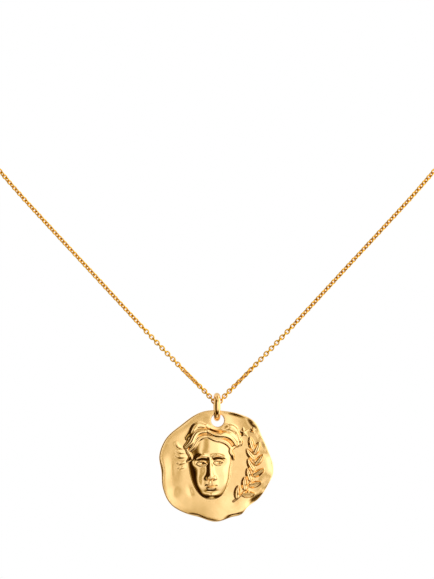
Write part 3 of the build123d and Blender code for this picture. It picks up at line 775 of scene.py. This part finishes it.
def rod_mesh(length, gauge, across):
    """Points and quads of a rod along x with rounded ends."""
    edge = gauge * ROD_EDGE
    half = []
    for turn in np.linspace(0.0, math.pi / 2, ROUND_STEPS):
        half.append((length / 2 - edge + edge * math.sin(turn), gauge / 2 - edge + edge * math.cos(turn)))
    half.append((length / 2, ROD_TIP))
    profile = np.array([(-x, r) for x, r in half[::-1]] + half)
    b = np.linspace(0, 2 * math.pi, across, endpoint=False)
    sides = [np.outer(profile[:, 1], wave(b)).ravel() for wave in (np.cos, np.sin)]
    points = np.stack([np.repeat(profile[:, 0], across)] + sides, 1)
    return points, wrap(len(profile), across, False)[:, [0, 3, 2, 1]]


def mesh_object(name, points, faces, material, node, body):
    """A smooth object in metres that rides on its body and stands for its node."""
    points = points * MM
    if node != "chain":
        # The finer mesh keeps within its solid's box. The links stay round.
        points = np.clip(points, *[np.array(corner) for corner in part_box(node)])
    mesh = bpy.data.meshes.new(name)
    size = faces.shape[1]
    mesh.vertices.add(len(points))
    mesh.vertices.foreach_set("co", points.astype(np.float32).ravel())
    mesh.loops.add(len(faces) * size)
    mesh.loops.foreach_set("vertex_index", faces.astype(np.int32).ravel())
    mesh.polygons.add(len(faces))
    mesh.polygons.foreach_set("loop_start", np.arange(0, len(faces) * size, size, dtype=np.int32))
    mesh.polygons.foreach_set("loop_total", np.full(len(faces), size, dtype=np.int32))
    mesh.update(calc_edges=True)
    mesh.polygons.foreach_set("use_smooth", np.full(len(faces), True))
    mesh.update()
    mesh.materials.append(material)
    piece = bpy.data.objects.new(name, mesh)
    bpy.context.scene.collection.objects.link(piece)
    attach(piece, body)
    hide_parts(node)
    return piece


# Materials


def linear(code):
    """An sRGB hex colour as linear red, green, blue and alpha."""
    parts = [int(code[i:i + 2], 16) / 255 for i in (1, 3, 5)]
    return [c / 12.92 if c <= 0.04045 else ((c + 0.055) / 1.055) ** 2.4 for c in parts] + [1.0]


def node_in(tree, kind, settings=None, links=None):
    """Adds a node, sets its properties and input values, and links its inputs."""
    made = tree.nodes.new(kind)
    for key, value in (settings or {}).items():
        if isinstance(key, str) and hasattr(made, key):
            setattr(made, key, value)
        else:
            made.inputs[key].default_value = value
    for key, source in (links or {}).items():
        tree.links.new(source, made.inputs[key])
    return made


def gold_plate(name, colour, roughness, hammer, grain, polish=None):
    """Polished gold plating on brass. hammer is the soft waviness of hand finishing and grain the
    fine polishing marks, both as bump heights in millimetres; polish is the raised work's roughness."""
    made = bpy.data.materials.new(name)
    made.use_nodes = True
    tree = made.node_tree
    tree.nodes.clear()
    place = node_in(tree, "ShaderNodeTexCoord").outputs["Object"]
    noises = []
    for size, detail, unevenness in (HAND_WAVES, POLISHING_MARKS, WEAR):
        settings = {"Scale": 1 / (size * MM), "Detail": detail, "Roughness": unevenness}
        noises.append(node_in(tree, "ShaderNodeTexNoise", settings, {"Vector": place}).outputs["Fac"])
    waves, marks, wear = noises
    low, high = WEAR_RANGE
    settings = {1: low, 2: high, 3: roughness * WORN_SMOOTH, 4: roughness * WORN_DULL}
    rough = node_in(tree, "ShaderNodeMapRange", settings, {0: wear}).outputs[0]
    if polish is not None:
        # The raised work is buffed brighter than the satin field.
        raised = node_in(tree, "ShaderNodeAttribute", {"attribute_name": RAISED}).outputs["Fac"]
        settings = {1: BUFFED_FROM, 2: BUFFED_TO, 3: 1.0, 4: polish / roughness}
        buffed = node_in(tree, "ShaderNodeMapRange", settings, {0: raised}).outputs[0]
        rough = node_in(tree, "ShaderNodeMath", {"operation": "MULTIPLY"}, {0: rough, 1: buffed}).outputs[0]
    settings = {"Strength": 1.0, "Distance": hammer * MM}
    normal = node_in(tree, "ShaderNodeBump", settings, {"Height": waves}).outputs["Normal"]
    settings = {"Strength": 1.0, "Distance": grain * MM}
    normal = node_in(tree, "ShaderNodeBump", settings, {"Height": marks, "Normal": normal}).outputs["Normal"]
    light = linear(colour)
    deep = [level * share for level, share in zip(light, DEEP_TONE)]
    settings = {"data_type": "RGBA", 6: light, 7: deep}
    tone = node_in(tree, "ShaderNodeMix", settings, {"Factor": wear}).outputs[2]
    links = {"Base Color": tone, "Roughness": rough, "Normal": normal}
    shader = node_in(tree, "ShaderNodeBsdfPrincipled", {"Metallic": 1.0}, links)
    node_in(tree, "ShaderNodeOutputMaterial", {}, {"Surface": shader.outputs[0]})
    return made


def cast_gold(finish):
    """The medallion's: its satin field glows softly, and its raised work catches sharper lights."""
    name = "Gold plated brass, cast and satin polished"
    return gold_plate(
        name, finish.medallion, finish.satin, hammer=0.016, grain=0.0006, polish=finish.polish
    )


def wire_gold(finish):
    """The ring's: smooth drawn wire, which shows the room as long clear streaks."""
    name = "Gold plated brass, drawn wire, polished"
    return gold_plate(name, finish.ring, finish.polish, hammer=0.0, grain=0.0003)


def link_gold(finish):
    """The chain's: small bright wire, so that each link has its own spark."""
    name = "Gold plated brass, soldered wire links, polished"
    return gold_plate(name, finish.chain, finish.polish, hammer=0.0, grain=0.0005)


def bolt_ring_gold(finish):
    """The bolt ring's: polished by hand, so that its streaks waver a little."""
    name = "Gold plated brass, bolt ring, polished"
    return gold_plate(name, finish.ring, finish.polish, hammer=0.003, grain=0.0006)


def white_paper(code):
    """The floor's: matt, so that the necklace stands over an even pale ground."""
    paint = bpy.data.materials.new("Matt paper, white")
    paint.use_nodes = True
    shader = paint.node_tree.nodes["Principled BSDF"]
    shader.inputs["Base Color"].default_value = linear(code)
    shader.inputs["Roughness"].default_value = 0.9
    return paint


# Property groups


def length_setting(name, text, value):
    """A size in metres, given here in millimetres."""
    return bpy.props.FloatProperty(
        name=name, description=text, default=value * MM, unit="LENGTH", subtype="DISTANCE", precision=5
    )


def angle_setting(name, text, value):
    """An angle, given here in degrees."""
    return bpy.props.FloatProperty(
        name=name, description=text, default=math.radians(value), unit="ROTATION", subtype="ANGLE"
    )


def roughness_setting(name, text, value):
    """A roughness from none to full."""
    return bpy.props.FloatProperty(
        name=name, description=text, default=value, min=0.0, max=1.0, subtype="FACTOR"
    )


def colour_setting(name, text, code):
    """A colour, given as sRGB hex."""
    return bpy.props.StringProperty(name=name, description=text + ", as sRGB hex", default=code)


class NecklaceMedallion(bpy.types.PropertyGroup):
    """Sizes of the medallion and its relief."""

    width: length_setting("Width", "Across the medallion", 25.0)
    height: length_setting("Height", "From the medallion's top to its bottom", 24.4)
    thickness: length_setting("Thickness", "Of the bare sheet", 1.1)
    rim_round: length_setting("Rim rounding", "Radius along the rim", 0.26)
    hole_radius: length_setting("Hole radius", "Of the hole for the ring", 1.42)
    hole_shift: length_setting("Hole shift", "Of the hole to the right of the middle", 0.27)
    hole_land: length_setting("Hole land", "Metal above the hole", 0.80)
    hole_round: length_setting("Hole rounding", "Radius along the hole's edges", 0.16)
    relief_rise: length_setting("Relief", "Height of the head over the field", 1.30)
    head_height: length_setting("Head height", "From the crown to the chin", 16.2)
    head_left: length_setting("Head left", "Of the head from the middle", 1.35)
    head_up: length_setting("Head up", "Of the head over the middle", 0.80)
    sprig_rise: length_setting("Sprig relief", "Height of the laurel over the field", 0.80)
    star_rise: length_setting("Star relief", "Height of the stars over the field", 0.55)
    field_wave: length_setting("Field wave", "Depth of the sheet's soft waves", 0.30)
    rim_bend: length_setting("Rim bend", "Depth of the rim's bends", 0.80)
    head_pitch: length_setting("Head pitch", "Between mesh points on the head", 0.085)
    motif_pitch: length_setting("Motif pitch", "Between mesh points on the sprig and stars", 0.10)
    field_pitch: length_setting("Field pitch", "Between mesh points on the field", 0.24)
    back_pitch: length_setting("Back pitch", "Between mesh points on the back", 0.40)
    head_tilt: angle_setting("Head tilt", "To the left at the top", 3.0)


class NecklaceChain(bpy.types.PropertyGroup):
    """Sizes of the links, the ring, the jump ring and the bolt ring."""

    link_length: length_setting("Link length", "Outside a link, along the chain", 1.465)
    link_width: length_setting("Link width", "Outside a link, across the chain", 1.17)
    link_wire: length_setting("Link wire", "Diameter of the links' wire", 0.305)
    ring_outer: length_setting("Ring", "Outside the ring", 6.25)
    ring_wire: length_setting("Ring wire", "Diameter of the ring's wire", 1.40)
    ring_turn: angle_setting("Ring turn", "Of the ring off edge on", 2.6)
    jump_outer: length_setting("Jump ring", "Outside the jump ring by the bolt ring", 2.10)
    jump_wire: length_setting("Jump ring wire", "Diameter of the jump ring's wire", 0.34)
    jump_lean: angle_setting("Jump ring lean", "Of the jump ring off upright", 40.0)
    bolt_outer: length_setting("Bolt ring", "Outside the bolt ring", 5.5)
    bolt_wire: length_setting("Bolt ring wire", "Diameter of the bolt ring's wire", 1.1)
    barrel_length: length_setting("Barrel", "Length of the bolt's barrel", 2.4)
    barrel_gauge: length_setting("Barrel gauge", "Diameter of the bolt's barrel", 1.5)
    eye_outer: length_setting("Eye", "Outside the bolt ring's eye", 2.7)
    eye_wire: length_setting("Eye wire", "Diameter of the eye's wire", 0.7)


class NecklaceFinish(bpy.types.PropertyGroup):
    """Colours and polish of the gold."""

    medallion: colour_setting("Medallion", "Colour of the medallion", "#FCD598")
    chain: colour_setting("Chain", "Colour of the chain", "#F2BA30")
    ring: colour_setting("Ring", "Colour of the ring and bolt ring", "#F8CB8D")
    satin: roughness_setting("Satin", "Roughness of the medallion's field", 0.20)
    polish: roughness_setting("Polish", "Roughness of the raised work, chain and rings", 0.13)


class NecklaceStage(bpy.types.PropertyGroup):
    """The camera, the light and the floor."""

    pixel: length_setting("Picture scale", "Size of one of the picture's dots at the medallion", 0.2187)
    distance: length_setting("Camera distance", "From the lens to the medallion", 1200.0)
    aim_right: length_setting("Aim right", "Of the picture's middle from the ring", 0.010)
    aim_up: length_setting("Aim up", "Of the picture's middle over the chain in the ring", 24.65)
    floor_drop: length_setting("Floor drop", "From the medallion down to the floor", 150.0)
    floor_radius: length_setting("Floor radius", "Of the round floor", 1500.0)
    floor: colour_setting("Floor", "Colour of the floor", "#F2F1EF")
    brightness: bpy.props.FloatProperty(
        name="Brightness", description="Of the studio's light", default=1.0, min=0.0
    )


def in_millimetres(group):
    """The group's lengths in millimetres, its angles in degrees and its other values as they are."""
    values = {}
    for item in group.bl_rna.properties:
        if item.identifier in ("rna_type", "name"):
            continue
        value = getattr(group, item.identifier)
        if item.unit == "LENGTH":
            value = value / MM
        elif item.unit == "ROTATION":
            value = math.degrees(value)
        values[item.identifier] = value
    return SimpleNamespace(**values)


# Chain route


def chain_line():
    """The chain's middle line, closely spaced, in millimetres."""
    curve = bpy.data.curves.new("route", "CURVE")
    curve.dimensions = "3D"
    curve.resolution_u = 64
    spline = curve.splines.new("NURBS")
    right = NEAR_RING + ROUTE
    left = [(-x, y, z) for x, y, z in right[::-1]]
    points = [LEFT_END] + left + right + [RIGHT_END]
    spline.points.add(len(points) - 1)
    for point, (x, y, z) in zip(spline.points, points):
        point.co = (x, y, z, 1.0)
    spline.order_u = 3
    spline.use_endpoint_u = True
    holder = bpy.data.objects.new("route", curve)
    bpy.context.scene.collection.objects.link(holder)
    bpy.context.view_layer.update()
    shaped = holder.evaluated_get(bpy.context.evaluated_depsgraph_get())
    mesh = bpy.data.meshes.new_from_object(shaped)
    line = np.array([v.co for v in mesh.vertices], float)
    bpy.data.objects.remove(holder)
    bpy.data.meshes.remove(mesh)
    if np.linalg.norm(line[0] - np.array(LEFT_END)) > LINE_TOLERANCE:
        raise RuntimeError("the chain's line doesn't start at its left end")
    return line


def link_places(reach):
    """Distances of the links from the ring, on one side, with the last at the reach."""
    distances = [d for d, _ in PITCH]
    pitches = [p for _, p in PITCH]
    places = [0.0]
    while places[-1] < reach - pitches[-1] / 2:
        places.append(places[-1] + float(np.interp(places[-1], distances, pitches)))
    return np.array(places) * reach / places[-1]


def cross_ways(direction, first):
    """A direction across the chain at each link, carried without turning from the first one outward."""
    cross = np.zeros_like(direction)
    cross[first] = (0.0, 1.0, 0.0)
    for way in (1, -1):
        k = first + way
        while 0 <= k < len(direction):
            carried = cross[k - way] - direction[k] * (cross[k - way] @ direction[k])
            cross[k] = carried / np.linalg.norm(carried)
            k += way
    return cross


def link_frames():
    """Each link's middle, its direction along the chain and the direction of its width."""
    line = chain_line()
    step = np.linalg.norm(np.diff(line, axis=0), axis=1)
    run = np.concatenate([[0.0], np.cumsum(step)])
    middle = run[np.argmin(line[:, 2])]
    left = link_places(middle)
    right = link_places(run[-1] - middle)
    at = np.concatenate([middle - left[:0:-1], middle + right])
    before, spot, ahead = [
        np.stack([np.interp(np.clip(at + shift, 0.0, run[-1]), run, line[:, k]) for k in range(3)], 1)
        for shift in (-DIRECTION_STEP, 0.0, DIRECTION_STEP)
    ]
    direction = ahead - before
    direction = direction / np.linalg.norm(direction, axis=1)[:, None]
    away = np.abs(at - middle)
    order = np.arange(len(at)) - (len(left) - 1)
    spot[:, 2] -= LINK_SAG * np.exp(-((away / LINK_SAG_REACH) ** 2)) * (order != 0)
    # The middle link lies flat in the ring, and the next one on each side stands on its edge.
    cross = cross_ways(direction, len(left) - 1)
    other = np.cross(direction, cross)
    side = np.where(at >= middle, 1.0, -1.0)
    twist = np.radians(np.interp(away, [k for k, _ in TWIST], [v for _, v in TWIST]))
    turn = twist * side + (order % 2) * math.pi / 2
    rng = np.random.default_rng(LOOSE_SEED)
    turn = turn + rng.normal(0.0, math.radians(LOOSE_TURN), len(at)) * (away > LOOSE_FROM)
    wide = cross * np.cos(turn)[:, None] + other * np.sin(turn)[:, None]
    return spot, direction, wide


def place_links(template, quads, spot, direction, wide):
    """All links as one set of points and quads."""
    axes = np.stack([direction, wide, np.cross(direction, wide)], 1)
    points = template[None] @ axes + spot[:, None]
    rows = quads[None] + (np.arange(len(spot)) * len(template))[:, None, None]
    return points.reshape(-1, 3), rows.reshape(-1, 4)


def jump_ring(c):
    """Points and quads of the jump ring between the chain's end and the bolt ring."""
    points, quads = ring_mesh((c.jump_outer - c.jump_wire) / 2, c.jump_wire, around=28, across=10)
    cos = math.cos(math.radians(c.jump_lean))
    sin = math.sin(math.radians(c.jump_lean))
    leaning = np.array([[1.0, 0.0, 0.0], [0.0, sin, cos], [0.0, -cos, sin]])
    return points @ leaning + np.array(JUMP_PLACE), quads


# Operators


class NECKLACE_OT_medallion(bpy.types.Operator):
    """Makes the medallion with its relief"""

    bl_idname = "necklace.medallion"
    bl_label = "Medallion"

    def execute(self, context):
        m = in_millimetres(context.scene.necklace_medallion)
        points, rows, height = medallion_mesh(m)
        points = points + np.array(MEDALLION_PLACE)
        gold = cast_gold(context.scene.necklace_finish)
        piece = mesh_object("cast_medallion", points, rows, gold, "medallion", "pendant")
        raised = piece.data.attributes.new(RAISED, "FLOAT", "POINT")
        raised.data.foreach_set("value", height.astype(np.float32))
        return {"FINISHED"}


class NECKLACE_OT_ring(bpy.types.Operator):
    """Makes the round ring that the medallion hangs on"""

    bl_idname = "necklace.ring"
    bl_label = "Ring"

    def execute(self, context):
        c = in_millimetres(context.scene.necklace_chain)
        points, quads = ring_mesh((c.ring_outer - c.ring_wire) / 2, c.ring_wire, around=128, across=48)
        cos = math.cos(math.radians(c.ring_turn))
        sin = math.sin(math.radians(c.ring_turn))
        turned = np.array([[cos, sin, 0.0], [-sin, cos, 0.0], [0.0, 0.0, 1.0]])
        points = points[:, [2, 0, 1]] @ turned + np.array(RING_PLACE)
        gold = wire_gold(context.scene.necklace_finish)
        mesh_object("wire_ring", points, quads, gold, "bail_ring", "bail")
        return {"FINISHED"}


class NECKLACE_OT_chain(bpy.types.Operator):
    """Makes the cable chain, link by link"""

    bl_idname = "necklace.chain"
    bl_label = "Chain"

    def execute(self, context):
        c = in_millimetres(context.scene.necklace_chain)
        mean = (c.link_length - c.link_wire) / 2
        squash = (c.link_width - c.link_wire) / (c.link_length - c.link_wire)
        link, quads = ring_mesh(mean, c.link_wire, around=18, across=8, squash=squash)
        links, link_quads = place_links(link, quads, *link_frames())
        jump, jump_quads = jump_ring(c)
        points = np.concatenate([links, jump])
        rows = np.concatenate([link_quads, jump_quads + len(links)])
        gold = link_gold(context.scene.necklace_finish)
        mesh_object("cable_chain", points, rows, gold, "chain", "necklace")
        return {"FINISHED"}


class NECKLACE_OT_bolt_ring(bpy.types.Operator):
    """Makes the bolt ring at the nape, with its barrel and eye"""

    bl_idname = "necklace.bolt_ring"
    bl_label = "Bolt ring"

    def execute(self, context):
        c = in_millimetres(context.scene.necklace_chain)
        mean = (c.bolt_outer - c.bolt_wire) / 2
        ring, quads = ring_mesh(mean, c.bolt_wire, around=96, across=32)
        eye_loop, eye_quads = ring_mesh((c.eye_outer - c.eye_wire) / 2, c.eye_wire, around=64, across=20)
        eye_loop = eye_loop + np.array([(c.bolt_outer + c.eye_outer - c.bolt_wire) / 2, 0.0, 0.0])
        barrel, barrel_quads = rod_mesh(c.barrel_length, c.barrel_gauge, across=32)
        barrel = barrel + np.array([0.0, mean, 0.0])
        points = np.concatenate([ring, eye_loop, barrel])
        rows = np.concatenate([quads, eye_quads + len(ring), barrel_quads + len(ring) + len(eye_loop)])
        points = points[:, [0, 2, 1]] * np.array([1.0, -1.0, 1.0]) + np.array(BOLT_PLACE)
        gold = bolt_ring_gold(context.scene.necklace_finish)
        mesh_object("bolt_ring", points, rows, gold, "clasp", "necklace")
        return {"FINISHED"}


def card(tree, azimuth, elevation, row):
    """One inside a rectangular card of the studio, zero outside and a soft edge between."""
    centre_a, centre_e, half_a, half_e, soft = row
    sides = []
    for angle, centre, half in ((azimuth, centre_a, half_a), (elevation, centre_e, half_e)):
        off = node_in(tree, "ShaderNodeMath", {"operation": "SUBTRACT", 1: centre}, {0: angle})
        # The way round is never over half a turn.
        far = node_in(tree, "ShaderNodeMath", {"operation": "PINGPONG", 1: 180.0}, {0: off.outputs[0]})
        step = {"interpolation_type": "SMOOTHSTEP", 1: half - soft / 2, 2: half + soft / 2, 3: 1.0, 4: 0.0}
        sides.append(node_in(tree, "ShaderNodeMapRange", step, {0: far.outputs[0]}).outputs[0])
    return node_in(tree, "ShaderNodeMath", {"operation": "MULTIPLY"}, {0: sides[0], 1: sides[1]}).outputs[0]


def directions(tree):
    """The azimuth and elevation in degrees of each way out into the room, azimuth 0 at the camera."""
    place = node_in(tree, "ShaderNodeTexCoord")
    right, back, up = node_in(tree, "ShaderNodeSeparateXYZ", {}, {0: place.outputs["Generated"]}).outputs
    front = node_in(tree, "ShaderNodeMath", {"operation": "MULTIPLY", 1: -1.0}, {0: back}).outputs[0]
    turn = node_in(tree, "ShaderNodeMath", {"operation": "ARCTAN2"}, {0: right, 1: front}).outputs[0]
    rise = node_in(tree, "ShaderNodeMath", {"operation": "ARCSINE"}, {0: up}).outputs[0]
    degrees = {"operation": "DEGREES"}
    return [node_in(tree, "ShaderNodeMath", degrees, {0: way}).outputs[0] for way in (turn, rise)]


def room_level(tree):
    """How bright the room is each way: the softboxes added up, less what the dark cards take."""
    azimuth, elevation = directions(tree)
    level = None
    for strength, *row in SOFTBOXES:
        settings = {"operation": "MULTIPLY_ADD", 1: strength, 2: ROOM_LIGHT}
        links = {0: card(tree, azimuth, elevation, row)}
        if level is not None:
            links[2] = level
        level = node_in(tree, "ShaderNodeMath", settings, links).outputs[0]
    for strength, *row in DARK_CARDS:
        settings = {"operation": "MULTIPLY_ADD", 1: -strength, 2: 1.0}
        kept = node_in(tree, "ShaderNodeMath", settings, {0: card(tree, azimuth, elevation, row)}).outputs[0]
        level = node_in(tree, "ShaderNodeMath", {"operation": "MULTIPLY"}, {0: level, 1: kept}).outputs[0]
    return level


def studio_light(brightness):
    """White to the camera, and to the metal a studio of softboxes with dark cards between them."""
    world = bpy.data.worlds.new("Studio")
    bpy.context.scene.world = world
    world.use_nodes = True
    tree = world.node_tree
    tree.nodes.clear()
    level = room_level(tree)
    # The room's dim parts are warm, as gold and wood light them, and its bright parts white.
    dim = node_in(tree, "ShaderNodeMath", {"operation": "MINIMUM", 1: 1.0}, {0: level}).outputs[0]
    bright = node_in(tree, "ShaderNodeMath", {"operation": "MAXIMUM", 1: 1.0}, {0: level}).outputs[0]
    tints = {}
    for channel, power in enumerate(WARMTH):
        settings = {"operation": "POWER", 1: power}
        tints[channel] = node_in(tree, "ShaderNodeMath", settings, {0: dim}).outputs[0]
    colour = node_in(tree, "ShaderNodeCombineColor", {}, tints).outputs[0]
    settings = {"operation": "MULTIPLY", 1: brightness}
    strength = node_in(tree, "ShaderNodeMath", settings, {0: bright}).outputs[0]
    lit = node_in(tree, "ShaderNodeBackground", {}, {"Color": colour, "Strength": strength}).outputs[0]
    white = node_in(tree, "ShaderNodeBackground", {"Color": (1.0, 1.0, 1.0, 1.0)}).outputs[0]
    seen = node_in(tree, "ShaderNodeLightPath").outputs["Is Camera Ray"]
    mixed = node_in(tree, "ShaderNodeMixShader", {}, {0: seen, 1: lit, 2: white}).outputs[0]
    node_in(tree, "ShaderNodeOutputWorld", {}, {"Surface": mixed})


def paper_floor(s):
    """The round floor, out of the picture below the medallion."""
    low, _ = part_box("medallion")
    place = (0.0, 0.0, low.z - s.floor_drop)
    bpy.ops.mesh.primitive_circle_add(vertices=128, radius=s.floor_radius, fill_type="NGON", location=place)
    floor = bpy.context.object
    floor.name = "floor"
    floor.data.materials.append(white_paper(s.floor))
    # The metal reflects the studio's cards there and not the paper.
    floor.visible_glossy = False
    return floor


def front_camera(scene, s):
    """A distant camera straight in front, which looks a little over the ring."""
    camera = bpy.data.cameras.new("camera")
    camera.sensor_width = SENSOR_WIDTH
    camera.lens = camera.sensor_width * s.distance / (PICTURE_HEIGHT * s.pixel)
    camera.clip_end = CAMERA_REACH
    holder = bpy.data.objects.new("camera", camera)
    scene.collection.objects.link(holder)
    ring_x, ring_y, ring_z = CHAIN_IN_RING
    holder.location = (ring_x * MM + s.aim_right, ring_y * MM - s.distance, ring_z * MM + s.aim_up)
    holder.rotation_euler = (math.radians(90), 0.0, 0.0)
    scene.camera = holder


class NECKLACE_OT_stage(bpy.types.Operator):
    """Makes the camera, the studio light and the pale floor"""

    bl_idname = "necklace.stage"
    bl_label = "Stage"

    def execute(self, context):
        s = context.scene.necklace_stage
        context.scene.view_settings.view_transform = "Standard"
        studio_light(s.brightness)
        paper_floor(s)
        front_camera(context.scene, s)
        return {"FINISHED"}


class NECKLACE_PT_panel(bpy.types.Panel):
    """Lists the necklace's pieces"""

    bl_label = "Pendant necklace"
    bl_idname = "NECKLACE_PT_panel"
    bl_space_type = "VIEW_3D"
    bl_region_type = "UI"
    bl_category = "Necklace"

    def draw(self, context):
        for operator in OPERATORS:
            self.layout.operator(operator.bl_idname)
        for name in GROUPS:
            group = getattr(context.scene, name)
            box = self.layout.box()
            for item in group.bl_rna.properties:
                if item.identifier not in ("rna_type", "name"):
                    box.prop(group, item.identifier)


GROUPS = {
    "necklace_medallion": NecklaceMedallion,
    "necklace_chain": NecklaceChain,
    "necklace_finish": NecklaceFinish,
    "necklace_stage": NecklaceStage,
}
OPERATORS = (
    NECKLACE_OT_stage,
    NECKLACE_OT_medallion,
    NECKLACE_OT_ring,
    NECKLACE_OT_chain,
    NECKLACE_OT_bolt_ring,
)


def register():
    """Registers the groups, operators and panel."""
    for group in GROUPS.values():
        bpy.utils.register_class(group)
    for name, group in GROUPS.items():
        setattr(bpy.types.Scene, name, bpy.props.PointerProperty(type=group))
    for operator in OPERATORS:
        bpy.utils.register_class(operator)
    bpy.utils.register_class(NECKLACE_PT_panel)


def unregister():
    """Takes the panel, operators and groups away again."""
    bpy.utils.unregister_class(NECKLACE_PT_panel)
    for operator in reversed(OPERATORS):
        bpy.utils.unregister_class(operator)
    for name in GROUPS:
        delattr(bpy.types.Scene, name)
    for group in reversed(list(GROUPS.values())):
        bpy.utils.unregister_class(group)


def main():
    """Registers the add-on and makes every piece."""
    register()
    bpy.ops.necklace.stage()
    bpy.ops.necklace.medallion()
    bpy.ops.necklace.ring()
    bpy.ops.necklace.chain()
    bpy.ops.necklace.bolt_ring()


if __name__ == "__main__":
    main()
